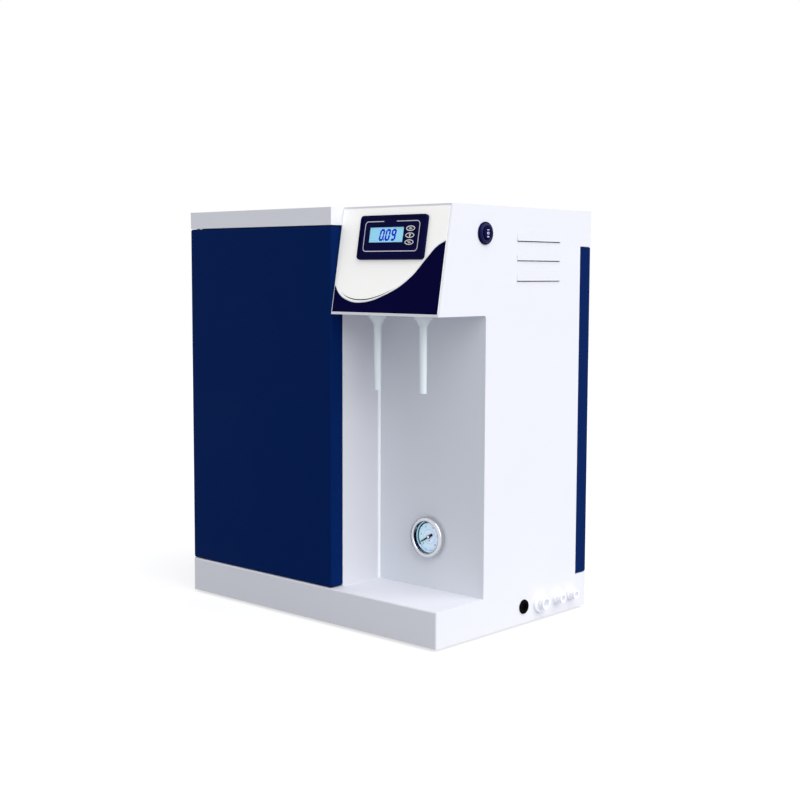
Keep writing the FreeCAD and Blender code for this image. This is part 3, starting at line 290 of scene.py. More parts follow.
# %% Coats, plastics and metals
finishes = {
    "white_paint": solid_finish("white_coat", (0.83, 0.838, 0.89), (0.86, 0.868, 0.92), (0.45, 0.58),
                                shine=0.3),
    "grey_paint": solid_finish("grey_coat", (0.76, 0.79, 0.85), (0.80, 0.83, 0.88), (0.5, 0.62), shine=0.3),
    "navy_paint": solid_finish("navy_coat", (0.0007, 0.0135, 0.091), (0.0010, 0.0160, 0.105), (0.42, 0.56),
                               strength=0.1, shine=0.02),
    "black_rubber": solid_finish("black_rubber", (0.0012, 0.0012, 0.0014), (0.003, 0.003, 0.0034),
                                 (0.7, 0.85), skin_scale=1600, strength=0.3, shine=0.03),
    "zinc_steel": solid_finish("zinc_steel", (0.55, 0.57, 0.60), (0.68, 0.70, 0.73), (0.28, 0.42),
                               metal=1.0, brushed=True, strength=0.12),
    "magnet": solid_finish("dark_ferrite", (0.03, 0.03, 0.034), (0.06, 0.06, 0.065), (0.45, 0.6), metal=0.6),
    "bezel_plastic": solid_finish("bezel_plastic", (0.0010, 0.0015, 0.036), (0.002, 0.002, 0.052),
                                  (0.26, 0.36), skin_scale=1500, strength=0.12, depth=0.0001, shine=0.03),
    # The nozzles' plastic carries a little painted light: a faint glow that brightens them.
    "nozzle_plastic": solid_finish("milky_plastic_with_painted_glow", (0.83, 0.90, 0.94), (0.88, 0.94, 0.98), (0.16, 0.26),
                                   skin_scale=500, strength=0.05, see_through=0.12, glow=0.03),
    "stainless": solid_finish("polished_stainless", (0.56, 0.57, 0.60), (0.66, 0.67, 0.70), (0.12, 0.22),
                              metal=1.0, brushed=True, strength=0.05),
    "pointer_black": solid_finish("pointer_black", (0.002, 0.003, 0.014), (0.004, 0.005, 0.02), (0.3, 0.4),
                                  shine=0.1),
    "brass": solid_finish("turned_brass", (0.62, 0.43, 0.16), (0.76, 0.56, 0.24), (0.2, 0.34), metal=1.0,
                          brushed=True, strength=0.1),
    "switch_plastic": solid_finish("switch_plastic", (0.0010, 0.0012, 0.034), (0.002, 0.002, 0.055),
                                   (0.12, 0.2), skin_scale=600, strength=0.04, shine=0.03),
    # The fittings' plastic carries painted light: a glow that lifts their shaded faces toward white.
    "port_plastic": solid_finish("fitting_plastic_with_painted_glow", (0.76, 0.77, 0.82), (0.80, 0.81, 0.86), (0.35, 0.48),
                                 skin_scale=1500, strength=0.12, depth=0.0001, shine=0.3, glow=0.2),
    "filter_plastic": solid_finish("filter_plastic", (0.80, 0.81, 0.83), (0.87, 0.88, 0.90), (0.25, 0.38),
                                   skin_scale=700, strength=0.08),
    "probe_plastic": solid_finish("black_plastic", (0.010, 0.010, 0.012), (0.022, 0.022, 0.025), (0.35, 0.5),
                                  skin_scale=1500, strength=0.2),
    "pump_metal": solid_finish("grey_metal", (0.22, 0.23, 0.25), (0.30, 0.31, 0.33), (0.35, 0.48), metal=0.7,
                               brushed=True),
    "pump_plastic": solid_finish("pump_plastic", (0.012, 0.012, 0.014), (0.026, 0.026, 0.03), (0.4, 0.55),
                                 skin_scale=1200, strength=0.25),
    "valve": solid_finish("valve_plastic", (0.016, 0.018, 0.024), (0.034, 0.036, 0.045), (0.35, 0.5),
                          skin_scale=1200, strength=0.2),
    "plunger_steel": solid_finish("plunger_steel", (0.5, 0.5, 0.52), (0.62, 0.62, 0.64), (0.2, 0.32),
                                  metal=1.0, brushed=True),
    "hose_plastic": solid_finish("milky_hose", (0.70, 0.76, 0.82), (0.80, 0.85, 0.90), (0.22, 0.34),
                                 skin_scale=400, strength=0.05, see_through=0.2),
    # The panel film carries painted light: a glow that makes it read brighter than the lit front.
    "panel_film": solid_finish("pale_film_with_painted_glow", (0.915, 0.91, 0.875), (0.935, 0.93, 0.895), (0.38, 0.48),
                               skin_scale=2500, strength=0.08, depth=0.0001, coat=0.4, glow=0.28),
    "button_rubber": solid_finish("key_film", (0.0015, 0.0015, 0.018), (0.003, 0.003, 0.026), (0.3, 0.4),
                                  skin_scale=1800, strength=0.1, depth=0.0001, shine=0.04),
}
print("solid finishes:", len(finishes))

# %% [markdown]
# ## Board, clear covers and louvred coat
# The circuit board is green with fine lighter tracks, which a brick pattern gives. The covers are clear and
# nearly without colour. The right side panel has louvre hoods that lean to the sky and would burn out to
# white in this light. Its coat is the white one with a mask on the surface's direction that deepens them.

# %% Board, clear and louvred finishes
def board_finish():
    finish, nodes, links, shader = new_finish("circuit_board")
    place = nodes.new("ShaderNodeTexCoord").outputs["Object"]
    tracks = nodes.new("ShaderNodeTexBrick")
    tracks.inputs["Scale"].default_value = 260
    tracks.inputs["Mortar Size"].default_value = 0.03
    tracks.inputs["Color1"].default_value = (0.004, 0.075, 0.022, 1)
    tracks.inputs["Color2"].default_value = (0.006, 0.10, 0.03, 1)
    tracks.inputs["Mortar"].default_value = (0.02, 0.19, 0.06, 1)
    links.new(place, tracks.inputs["Vector"])
    links.new(tracks.outputs["Color"], shader.inputs["Base Color"])
    links.new(spread(nodes, links, tracks.outputs["Fac"], 0.32, 0.5), shader.inputs["Roughness"])
    add_bump(nodes, links, shader, tracks.outputs["Fac"], 0.3, 0.0001)
    return finish


def clear_finish(name, tint, rough):
    finish, nodes, links, shader = new_finish(name)
    effect = place_effect(nodes, coat_skin, {"Skin Scale": 300, "Cloud Scale": 40})
    shader.inputs["Base Color"].default_value = (*tint, 1)
    shader.inputs["Transmission Weight"].default_value = 1
    shader.inputs["IOR"].default_value = 1.12
    links.new(spread(nodes, links, effect.outputs["Cloud"], rough, rough + 0.03), shader.inputs["Roughness"])
    return finish


def louvred_coat(white):
    """The white coat, a shade deeper where a hood leans to the sky, so that the hoods do not burn out."""
    finish = white.copy()
    finish.name = "louvred_coat"
    nodes, links = finish.node_tree.nodes, finish.node_tree.links
    shader = nodes["Principled BSDF"]
    split = nodes.new("ShaderNodeSeparateXYZ")
    links.new(nodes.new("ShaderNodeTexCoord").outputs["Normal"], split.inputs[0])
    # Painted shade: the coat's colour is darkened where a face leans up toward the light.
    share = spread(nodes, links, split.outputs["Z"], 1.0, 0.92)
    share.node.inputs["From Min"].default_value = 0.02
    share.node.inputs["From Max"].default_value = 0.11
    deepen = nodes.new("ShaderNodeVectorMath")
    deepen.operation = "SCALE"
    links.new(shader.inputs["Base Color"].links[0].from_socket, deepen.inputs[0])
    links.new(share, deepen.inputs["Scale"])
    links.new(deepen.outputs[0], shader.inputs["Base Color"])
    return finish


finishes["circuit_board"] = board_finish()
finishes["clear_window"] = clear_finish("clear_window", (0.90, 0.97, 1.0), 0.02)
finishes["gauge_glass"] = clear_finish("gauge_glass", (0.97, 0.99, 1.0), 0.0)
print("finishes so far:", len(finishes))

# %% [markdown]
# ## Printed colours, the display and the dial
# Ink on a film is thin and nearly even, so each ink is a flat tone with only a slight cloud in it. The
# display is lit from behind: its colour is mixed from pale blue to bright cyan by the distance from its
# middle, and a little of it is given off as light. The dial is pale cyan on its left and pale blue on its
# right, and it gives off a little painted light, though a dial is no lamp.

# %% Inks
def ink(name, colour, rough=0.4, shine=0.1):
    return solid_finish(name, tuple(c * 0.94 for c in colour), colour, (rough, rough + 0.08), skin_scale=2500,
                        strength=0.04, depth=0.0001, shine=shine)


navy_ink = ink("navy_ink", (0.0007, 0.0007, 0.040), shine=0.02)
white_ink = ink("white_ink", (0.88, 0.88, 0.92))
grey_ink = ink("grey_ink", (0.10, 0.10, 0.105))
outline_ink = ink("outline_ink", (0.80, 0.79, 0.90))
digit_ink = ink("digit_ink", (0.0, 0.0, 0.60), rough=0.3)
faint_ink = ink("faint_ink", (0.09, 0.30, 0.55), rough=0.3)
green_ink = ink("green_ink", (0.004, 0.13, 0.12))
dial_ink = ink("dial_ink", (0.02, 0.03, 0.10))
# Painted highlight: a navy lighter and glossier than the switch, so the collar's rim reads lit.
rim_highlight_ink = ink("rim_highlight_navy", (0.003, 0.005, 0.060), rough=0.2, shine=0.14)
red_ink = ink("red_ink", (0.45, 0.10, 0.05))
mark_ink = ink("mark_ink", (0.66, 0.66, 0.84))
print("materials with the inks:", len(bpy.data.materials))

# %% Display and dial


def display_finish(middle, half_size):
    """Pale blue in the middle and cyan at the borders of a sloping rectangle."""
    finish, nodes, links, shader = new_finish("display")
    place = nodes.new("ShaderNodeTexCoord").outputs["Object"]
    turned = nodes.new("ShaderNodeMapping")
    turned.vector_type = "TEXTURE"
    turned.inputs["Location"].default_value = middle
    turned.inputs["Rotation"].default_value = (panel_tilt, 0, 0)
    turned.inputs["Scale"].default_value = (half_size[0], half_size[1], 1)
    links.new(place, turned.inputs["Vector"])
    split = nodes.new("ShaderNodeSeparateXYZ")
    links.new(turned.outputs[0], split.inputs[0])
    nearest = None
    for axis, power in (("X", 26), ("Y", 12)):
        size = nodes.new("ShaderNodeMath")
        size.operation = "ABSOLUTE"
        links.new(split.outputs[axis], size.inputs[0])
        raised = nodes.new("ShaderNodeMath")
        raised.operation = "POWER"
        raised.inputs[1].default_value = power
        links.new(size.outputs[0], raised.inputs[0])
        if nearest is None:
            nearest = raised.outputs[0]
        else:
            larger = nodes.new("ShaderNodeMath")
            larger.operation = "MAXIMUM"
            links.new(nearest, larger.inputs[0])
            links.new(raised.outputs[0], larger.inputs[1])
            nearest = larger.outputs[0]
    tone = two_tones(nodes, links, nearest, (0.24, 0.50, 0.63), (0.45, 0.88, 0.97))
    links.new(tone, shader.inputs["Base Color"])
    links.new(tone, shader.inputs["Emission Color"])
    shader.inputs["Emission Strength"].default_value = 0.4
    shader.inputs["Roughness"].default_value = 0.35
    return finish


def dial_finish(middle, radius):
    """Pale blue that turns to pale cyan on the left."""
    finish, nodes, links, shader = new_finish("gauge_dial")
    place = nodes.new("ShaderNodeTexCoord").outputs["Object"]
    centred = nodes.new("ShaderNodeMapping")
    centred.vector_type = "TEXTURE"
    centred.inputs["Location"].default_value = middle
    centred.inputs["Scale"].default_value = (radius, radius, radius)
    links.new(place, centred.inputs["Vector"])
    split = nodes.new("ShaderNodeSeparateXYZ")
    links.new(centred.outputs[0], split.inputs[0])
    across = spread(nodes, links, split.outputs["X"], 0.0, 1.0)
    across.node.inputs["From Min"].default_value = -1
    across.node.inputs["From Max"].default_value = 1
    tone = two_tones(nodes, links, across, (0.56, 0.78, 0.90), (0.68, 0.75, 0.94))
    links.new(tone, shader.inputs["Base Color"])
    # Painted light: the dial glows with its own colour, though it is no lamp.
    links.new(tone, shader.inputs["Emission Color"])
    shader.inputs["Emission Strength"].default_value = 0.2
    shader.inputs["Roughness"].default_value = 0.5
    return finish


print("makers: display_finish, dial_finish")

# %% [markdown]
# ## Where the details sit
# Three flat places carry the small details: the sloping panel, the gauge's dial and the switch's cap. Each
# gets a frame whose X runs to the reader's right, Y up, and Z out of the surface. A detail is drawn flat in
# millimetre sizes and then laid on with that frame.

# %% Frames of the panel, dial and switch
panel_run, panel_rise = 20.4, 117.0
panel_front, panel_foot = -0.1358, 0.351
panel_slope = math.atan2(panel_run, panel_rise)
panel_tilt = math.pi / 2 - panel_slope
panel_corner = Vector((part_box("control_panel")[0].x, panel_front, panel_foot))
panel_place = Matrix.Translation(panel_corner) @ Matrix.Rotation(panel_tilt, 4, "X")
panel_width = 156.0
meter_middle = (80.0, 83.8)
film_top = 0.4
field_top = 3.4
window_top = 3.1
display_top = 1.9
window_middle = (meter_middle[0] - 8.45, meter_middle[1] + 2.7)

dial_low, dial_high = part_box("gauge_dial")
dial_middle = (dial_low + dial_high) / 2
dial_face = dial_low.y
dial_turn = Matrix.Rotation(math.pi / 2, 4, "X")
dial_place = Matrix.Translation((dial_middle.x, dial_face, dial_middle.z)) @ dial_turn

cap_low, cap_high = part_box("switch_cap")
cap_middle = (cap_low + cap_high) / 2
cap_place = Matrix.Translation((cap_high.x, cap_middle.y, cap_middle.z)) @ Matrix(
    ((0, 0, 1, 0), (1, 0, 0, 0), (0, 1, 0, 0), (0, 0, 0, 1)))
print("panel slope", round(math.degrees(panel_slope), 2), "dial face", round(dial_face, 4))

display_middle = panel_place @ Vector((window_middle[0] * mm, window_middle[1] * mm, display_top * mm))
display_half_size, dial_radius = (26 * mm, 9.5 * mm), 17.6 * mm
finishes["display"] = display_finish(display_middle, display_half_size)
finishes["gauge_dial"] = dial_finish((dial_middle.x, dial_face, dial_middle.z), dial_radius)

# %% [markdown]
# ## Finishes on the ready-made solids
# The record lists which material slot each solid belongs to. Reading that list dresses every solid at once,
# and a missing name would stop the script instead of leaving a bare part. Two panels get a coat of their own
# with painted shade: the louvred one on its hoods, and the bay's side wall, a tone deeper for the bay's
# shade.

# %% Dress the solids
for entry in frame["record"]["subparts"]:
    solid = frame["nodes"][entry["node"]]
    solid.data.materials.clear()
    solid.data.materials.append(finishes[entry["material_slot"]])
frame["nodes"]["right_side_panel"].data.materials[0] = louvred_coat(finishes["white_paint"])
# The bay's side wall gets a painted-shade copy of the white coat, a tone deeper for the shade in the bay.
frame["nodes"]["bay_side_wall"].data.materials[0] = solid_finish(
    "bay_painted_shade_coat", (0.71, 0.718, 0.757), (0.745, 0.75, 0.79), (0.45, 0.58), shine=0.3)

# %% [markdown]
# ## Tools for small pieces
# Each new piece begins as a primitive and is shaped in edit mode. Six helpers keep the cells short. Three of
# them clear the selection, pick vertices, edges or faces by a test, and apply a modifier. The other three
# lay a finished piece on its place, turn a profile round an axis as on a lathe, and move a place.

# %% Helpers that select and apply
def start_clear():
    if bpy.context.mode != "OBJECT":
        bpy.ops.object.mode_set(mode="OBJECT")
    bpy.ops.object.select_all(action="DESELECT")


def pick(kind, test):
    """Select the edit mesh's vertices, edges or faces that pass a test, and nothing else."""
    bpy.ops.mesh.select_mode(type={"verts": "VERT", "edges": "EDGE", "faces": "FACE"}[kind])
    bpy.ops.mesh.select_all(action="DESELECT")
    mesh = bmesh.from_edit_mesh(bpy.context.object.data)
    for element in getattr(mesh, kind):
        element.select_set(test(element))
    mesh.select_flush_mode()
    bmesh.update_edit_mesh(bpy.context.object.data)


def use_modifier(piece, kind, **settings):
    modifier = piece.modifiers.new(kind.lower(), kind)
    for name, value in settings.items():
        setattr(modifier, name, value)
    bpy.ops.object.modifier_apply(modifier=modifier.name)


print("helpers: start_clear, pick, use_modifier")

# %% Helpers that place and turn
smooth_angle = math.radians(32)


def lay_on(piece, name, place, finish, body, thickness=0.0):
    """Give a flat or turned piece its thickness, place, finish and body."""
    if bpy.context.mode != "OBJECT":
        bpy.ops.object.mode_set(mode="OBJECT")
    bpy.ops.object.transform_apply(location=True, rotation=True, scale=True)
    if thickness:
        use_modifier(piece, "SOLIDIFY", thickness=thickness * mm, offset=1)
    piece.matrix_world = place
    bpy.ops.object.transform_apply(location=True, rotation=True, scale=True)
    bpy.ops.object.shade_smooth_by_angle(angle=smooth_angle)
    piece.name = piece.data.name = name
    piece.data.materials.clear()
    piece.data.materials.append(finish)
    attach(piece, body)
    print(name, "faces:", len(piece.data.polygons))
    return piece


def turned(name, profile, place, finish, body, slot, steps=72):
    """A closed profile of (radius, height) points in millimetres, spun once round the Z axis."""
    start_clear()
    bpy.ops.mesh.primitive_circle_add(vertices=len(profile), radius=mm, fill_type="NOTHING")
    piece = bpy.context.object
    bpy.ops.object.mode_set(mode="EDIT")
    mesh = bmesh.from_edit_mesh(piece.data)
    mesh.verts.ensure_lookup_table()
    for vertex, (radius, height) in zip(mesh.verts, profile):
        vertex.co = (radius * mm, 0, height * mm)
    bmesh.update_edit_mesh(piece.data)
    bpy.ops.mesh.select_all(action="SELECT")
    bpy.ops.mesh.spin(steps=steps, angle=2 * math.pi, center=(0, 0, 0), axis=(0, 0, 1))
    bpy.ops.mesh.select_all(action="SELECT")
    bpy.ops.mesh.remove_doubles(threshold=0.00001)
    bpy.ops.mesh.normals_make_consistent(inside=False)
    return lay_on(piece, name, place, finish, body)


def shift(place, x=0.0, y=0.0, z=0.0):
    """A place moved by millimetres along its own axes."""
    return place @ Matrix.Translation((x * mm, y * mm, z * mm))


print("helpers: lay_on, turned, shift")

# %% [markdown]
# ## The sweep on the panel
# The film on the panel is printed: a navy field fills the lower corner under a long soft curve, with a thin
# white margin and a fine grey accent line that runs along it. Prints could be painted by a texture, but a
# closed Bezier outline filled flat keeps a clean edge at any distance. Each ink is a plate a few hundredths
# of a millimetre thick, laid one over the other.

# %% Outlines filled flat
def filled_outline(points, corners=()):
    """A flat mesh inside a closed Bezier outline, with straight handles at the named corners."""
    start_clear()
    bpy.ops.curve.primitive_bezier_curve_add()
    curve = bpy.context.object
    spline = curve.data.splines[0]
    spline.bezier_points.add(len(points) - 2)
    for index, (point, (x, y)) in enumerate(zip(spline.bezier_points, points)):
        point.co = (x * mm, y * mm, 0)
        kind = "VECTOR" if index in corners else "AUTO"
        point.handle_left_type = point.handle_right_type = kind
    spline.use_cyclic_u = True
    spline.resolution_u = 24
    curve.data.dimensions = "2D"
    curve.data.fill_mode = "BOTH"
    bpy.ops.object.convert(target="MESH")
    piece = bpy.context.object
    bpy.ops.object.mode_set(mode="EDIT")
    bpy.ops.mesh.select_all(action="SELECT")
    bpy.ops.mesh.remove_doubles(threshold=0.000001)
    bpy.ops.mesh.normals_make_consistent(inside=False)
    mesh = bmesh.from_edit_mesh(piece.data)
    if sum(face.normal.z for face in mesh.faces) < 0:
        bpy.ops.mesh.flip_normals()
    bpy.ops.object.mode_set(mode="OBJECT")
    return piece


print("helper: filled_outline")

# %% Panel print
film_inset, film_foot = 1.3, 2.7
film_left, film_right = film_inset, panel_width - film_inset
margin_width, margin_print, sweep_print, accent_print = 1.1, 0.03, 0.06, 0.05
sweep_rise = [(film_left, 32.0), (9.5, 22.2), (22.0, 15.9), (43.0, 13.4), (78.0, 22.1), (110.3, 39.9),
              (131.1, 61.3), (143.2, 73.5), (film_right, 79.6)]
sweep_base = [(film_right, film_foot), (film_left, film_foot)]
sweep_corners = (0, 8, 9, 10)


def lifted(points, rise):
    return [(x, y + rise) for x, y in points]


margin = filled_outline(lifted(sweep_rise, margin_width) + sweep_base, sweep_corners)
film_place = shift(panel_place, z=film_top)
lay_on(margin, "sweep_margin", film_place, white_ink, "cabinet", margin_print)
sweep = filled_outline(sweep_rise + sweep_base, sweep_corners)
lay_on(sweep, "panel_sweep", film_place, navy_ink, "cabinet", sweep_print)
accent_low = [(11.5, 25.0), (22.0, 18.9), (43.0, 15.9), (66.0, 19.6), (92.0, 30.2)]
accent_high = [(66.0, 20.7), (43.0, 17.2), (22.0, 19.8)]
accent = filled_outline(accent_low + accent_high, (0, 4))
lay_on(accent, "sweep_accent", film_place, grey_ink, "cabinet", accent_print)

# %% [markdown]
# ## The meter's face
# The meter has a thin pale outline round its field, open at the top, a lit display behind a clear lens, and
# three oval keys with pale rings. The outline is a plane with rounded corners that is inset and hollowed, and
# then cut where it is open. The lens is the same kind of plate, with a real thickness.

# %% Meter outline
def rounded_plate(half_width, half_height, corner, segments=8):
    start_clear()
    bpy.ops.mesh.primitive_plane_add(size=2 * mm)
    plate = bpy.context.object
    plate.scale = (half_width, half_height, 1)
    bpy.ops.object.transform_apply(location=True, rotation=True, scale=True)
    bpy.ops.object.mode_set(mode="EDIT")
    bpy.ops.mesh.select_all(action="SELECT")
    bpy.ops.mesh.bevel(offset=corner * mm, segments=segments, affect="VERTICES")
    return plate


def hollow_out(line_width):
    """Keep only a border of the selected plate."""
    bpy.ops.mesh.select_mode(type="FACE")
    bpy.ops.mesh.select_all(action="SELECT")
    bpy.ops.mesh.inset(thickness=line_width * mm)
    bpy.ops.mesh.delete(type="FACE")


gap_left, gap_right = -12.5 * mm, 6.0 * mm
outline_line, outline_print = 0.85, 0.05
outline = rounded_plate(39.7, 16.5, 4.4)
hollow_out(outline_line)
for cut_x in (gap_left, gap_right):
    bpy.ops.mesh.select_all(action="SELECT")
    bpy.ops.mesh.bisect(plane_co=(cut_x, 0, 0), plane_no=(1, 0, 0))
pick("faces", lambda f: f.calc_center_median().y > 0 and gap_left < f.calc_center_median().x < gap_right)
bpy.ops.mesh.delete(type="FACE")
field_place = shift(panel_place, meter_middle[0] - 0.6, meter_middle[1] + 1.0, field_top)
lay_on(outline, "meter_outline", field_place, outline_ink, "cabinet", outline_print)

# %% Lens
lens_thickness = 0.4
lens = rounded_plate(24.9, 8.1, 0.6, segments=3)
lens = lay_on(lens, "display_lens", shift(panel_place, *window_middle, window_top - lens_thickness),
              finishes["clear_window"], "cabinet", lens_thickness)
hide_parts("display_window")

# %% [markdown]
# ## The reading
# The display shows three figures and a point. Each figure is built from slanted bars with pointed ends, as on
# any such display. A plane whose ends are drawn out and narrowed gives a bar, and all bars are joined and
# slanted together, so that they lean by the same share.

# %% Figures from bars
figure_bars = {"0": "abcdef", "9": "abcdfg"}
bar_places = {"a": (0, 1, 0), "g": (0, 0, 0), "d": (0, -1, 0), "b": (1, 0.5, 1), "c": (1, -0.5, 1),
              "e": (-1, -0.5, 1), "f": (-1, 0.5, 1)}
figure_half_width, figure_half_height, slant = 2.35, 5.3, 0.16
bar_gap, bar_half_thickness, bar_tip, tip_share = 0.55, 1.15, 0.4, 0.25
shown_figures = ((-7.3, "0"), (1.2, "0"), (9.7, "9"))
dot_radius, dot_middle, figure_print = 0.75 * mm, (-3.3 * mm, -5.4 * mm, 0), 0.04


def figure_bar(x, y, standing):
    """A bar with pointed ends: a plane whose two end edges are drawn out and narrowed."""
    length = (figure_half_height if standing else 2 * figure_half_width) / 2 - bar_gap
    start_clear()
    bpy.ops.mesh.primitive_plane_add(size=2 * mm, location=(0, 0, 0))
    bar = bpy.context.object
    bar.scale = (length, bar_half_thickness, 1)
    bpy.ops.object.transform_apply(location=False, rotation=False, scale=True)
    bpy.ops.object.mode_set(mode="EDIT")
    for side in (-1, 1):
        pick("edges", lambda e: all(v.co.x * side > (length - 0.01) * mm for v in e.verts))
        bpy.ops.mesh.extrude_region_move(TRANSFORM_OT_translate={"value": (side * bar_tip * mm, 0, 0)})
        bpy.ops.transform.resize(value=(1, tip_share, 1))
    bpy.ops.object.mode_set(mode="OBJECT")
    bar.rotation_euler.z = math.pi / 2 if standing else 0
    bar.location = (x * mm, y * mm, 0)
    bpy.ops.object.transform_apply(location=True, rotation=True, scale=False)
    return bar


def join_pieces(parts):
    start_clear()
    for part in parts:
        part.select_set(True)
    bpy.context.view_layer.objects.active = parts[0]
    bpy.ops.object.join()
    return bpy.context.object


figures = []
for place_x, figure in shown_figures:
    for bar_name in figure_bars[figure]:
        across, along, standing = bar_places[bar_name]
        figures.append(figure_bar(place_x + across * figure_half_width, along * figure_half_height, standing))
start_clear()
bpy.ops.mesh.primitive_circle_add(vertices=12, radius=dot_radius, fill_type="NGON", location=dot_middle)
figures.append(bpy.context.object)
bpy.ops.object.transform_apply(location=True)
reading = join_pieces(figures)
bpy.ops.object.mode_set(mode="EDIT")
mesh = bmesh.from_edit_mesh(reading.data)
for vertex in mesh.verts:
    vertex.co.x += vertex.co.y * slant
bmesh.update_edit_mesh(reading.data)
lay_on(reading, "display_figures", shift(panel_place, window_middle[0] + 0.4, window_middle[1], display_top),
       digit_ink, "cabinet", figure_print)

# %% [markdown]
# ## Rings and signs on the keys
# Each key carries a printed pale ring and a sign: an arrow to the left, an arrow up, and two short bars.
# A circle squeezed to an oval and then hollowed gives the ring, and the arrows are filled outlines with
# straight corners. The print moves with its key, so each piece rides on the key's own body.

# %% Key print
key_top = 4.0
key_column, key_rows = 26.9, {"left_button": 8.9, "up_button": 1.5, "set_button": -5.9}
key_half_width, key_half_height, key_line, key_print = 6.3, 2.85, 0.95, 0.03
left_arrow = [(-2.5, 0), (-0.2, 1.3), (-0.2, 0.5), (2.2, 0.5), (2.2, -0.5), (-0.2, -0.5), (-0.2, -1.3)]
up_arrow = [(0, 1.9), (1.7, 0.1), (0.6, 0.1), (0.6, -1.8), (-0.6, -1.8), (-0.6, 0.1), (-1.7, 0.1)]
upper_bar = [(-2.6, 0.9), (1.2, 0.9), (1.2, 0.2), (-2.6, 0.2)]
lower_bar = [(-1.2, -0.2), (2.6, -0.2), (2.6, -0.9), (-1.2, -0.9)]
key_signs = {"left_button": [left_arrow], "up_button": [up_arrow], "set_button": [upper_bar, lower_bar]}


def flat_ring(half_width, half_height, line_width, steps=72):
    """An oval border made from a circle; the piece stays in edit mode."""
    start_clear()
    bpy.ops.mesh.primitive_circle_add(vertices=steps, radius=mm, fill_type="NGON")
    ring = bpy.context.object
    ring.scale = (half_width, half_height, 1)
    bpy.ops.object.transform_apply(location=False, rotation=False, scale=True)
    bpy.ops.object.mode_set(mode="EDIT")
    hollow_out(line_width)
    return ring


for key, row in key_rows.items():
    key_place = shift(panel_place, meter_middle[0] + key_column, meter_middle[1] + row, key_top)
    ring = flat_ring(key_half_width, key_half_height, key_line)
    lay_on(ring, key + "_ring", key_place, white_ink, key, key_print)
    sign = join_pieces([filled_outline(points, range(len(points))) for points in key_signs[key]])
    lay_on(sign, key + "_sign", key_place, white_ink, key, key_print)

# %% [markdown]
# ## The gauge's ring and dial
# The gauge is a bought part: a rolled steel ring holds the window and a spacer keeps the dial back. A dark
# ring inside the rim is painted shadow, the shade the rim casts on the dial's edge. All are turned, because a
# profile spun round an axis is how such rings are really made.

# %% Rolled ring and spacer
def arc(middle_r, middle_h, size, first, last, steps=8):
    """Profile points on an arc between two angles in degrees."""
    angles = [math.radians(first + (last - first) * step / steps) for step in range(steps + 1)]
    return [(middle_r + size * math.cos(a), middle_h + size * math.sin(a)) for a in angles]


dial_gap = 0.2
bead = arc(21.3, 5.6, 2.1, 0, 90) + arc(19.7, 6.0, 1.7, 90, 180)
rolled_ring = [(22.9, dial_gap), (23.4, 0.7)] + bead + [(18.0, 3.9), (19.3, 3.9), (19.3, dial_gap)]
ring_piece = turned("gauge_ring", rolled_ring, dial_place, finishes["stainless"], "cabinet", "stainless", 96)
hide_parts("gauge_bezel")
spacer = [(17.65, -0.6), (17.95, -0.6), (17.95, 1.7), (17.65, 1.7)]
turned("gauge_spacer", spacer, dial_place, finishes["gauge_dial"], "cabinet", "gauge_dial", 96)
# Painted shadow: a dark navy ring where the rim's shade falls on the dial's edge.
painted_shadow_ring = [(17.7, 1.75), (17.98, 1.75), (17.98, 6.0), (17.7, 6.0)]
turned("gauge_painted_shadow_ring", painted_shadow_ring, dial_place, navy_ink, "cabinet", "pointer_black", 96)
dome = [(0, 4.4), (17.65, 4.4), (17.65, 5.2), (15.0, 5.5), (10.0, 5.8), (5.0, 5.95), (0, 6.0)]
window = turned("gauge_window", dome, dial_place, finishes["gauge_glass"], "cabinet", "gauge_glass", 96)
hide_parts("gauge_glass")
hub_cap = [(0, 2.2), (1.7, 2.2), (1.7, 2.4), (1.3, 2.6), (0, 2.65)]
turned("gauge_hub_cap", hub_cap, dial_place, white_ink, "gauge_pointer", "pointer_black", 48)

# %% [markdown]
# ## The dial's print
# The dial is printed with a green arc, fine and coarse marks, and figures. One mark is drawn and then spun
# as copies, which keeps all of them at exact angles. The figures are text turned into flat meshes, because a
# mesh can be laid on the dial like every other print.

# %% Marks and figures of a dial
scale_start, scale_sweep = 225.0, 270.0
print_thickness = 0.03
figure_circle, figure_size = 11.9, 3.4
green_first, green_last = 90, 218
spot_radius, spot_drop = 0.9, 4.6


def on_dial(piece, name, finish):
    return lay_on(piece, name, dial_place, finish, "cabinet", print_thickness)


def scale_marks(inner, outer, half_width, count):
    """A mark at the scale's start, spun as copies to its end."""
    start_clear()
    bpy.ops.mesh.primitive_plane_add(size=2 * mm)
    mark = bpy.context.object
    mark.scale = ((outer - inner) / 2, half_width, 1)
    mark.location.x = (outer + inner) / 2 * mm
    bpy.ops.object.transform_apply(location=True, rotation=False, scale=True)
    mark.rotation_euler.z = math.radians(scale_start)
    bpy.ops.object.transform_apply(location=False, rotation=True, scale=False)
    bpy.ops.object.mode_set(mode="EDIT")
    bpy.ops.mesh.select_all(action="SELECT")
    bpy.ops.mesh.spin(steps=count, dupli=True, angle=-math.radians(scale_sweep), center=(0, 0, 0),
                      axis=(0, 0, 1))
    bpy.ops.object.mode_set(mode="OBJECT")
    return mark


def dial_figure(text, share):
    angle = math.radians(scale_start - scale_sweep * share)
    start_clear()
    reach = figure_circle * mm
    bpy.ops.object.text_add(location=(reach * math.cos(angle), reach * math.sin(angle), 0))
    figure = bpy.context.object
    figure.data.body = text
    figure.data.size = figure_size * mm
    figure.data.align_x = figure.data.align_y = "CENTER"
    bpy.ops.object.convert(target="MESH")
    bpy.ops.object.transform_apply(location=True)
    return bpy.context.object


def outside_green(face):
    angle = math.degrees(math.atan2(*face.calc_center_median().yx)) % 360
    return not green_first < angle < green_last


print("dial helpers: scale_marks, dial_figure, outside_green")

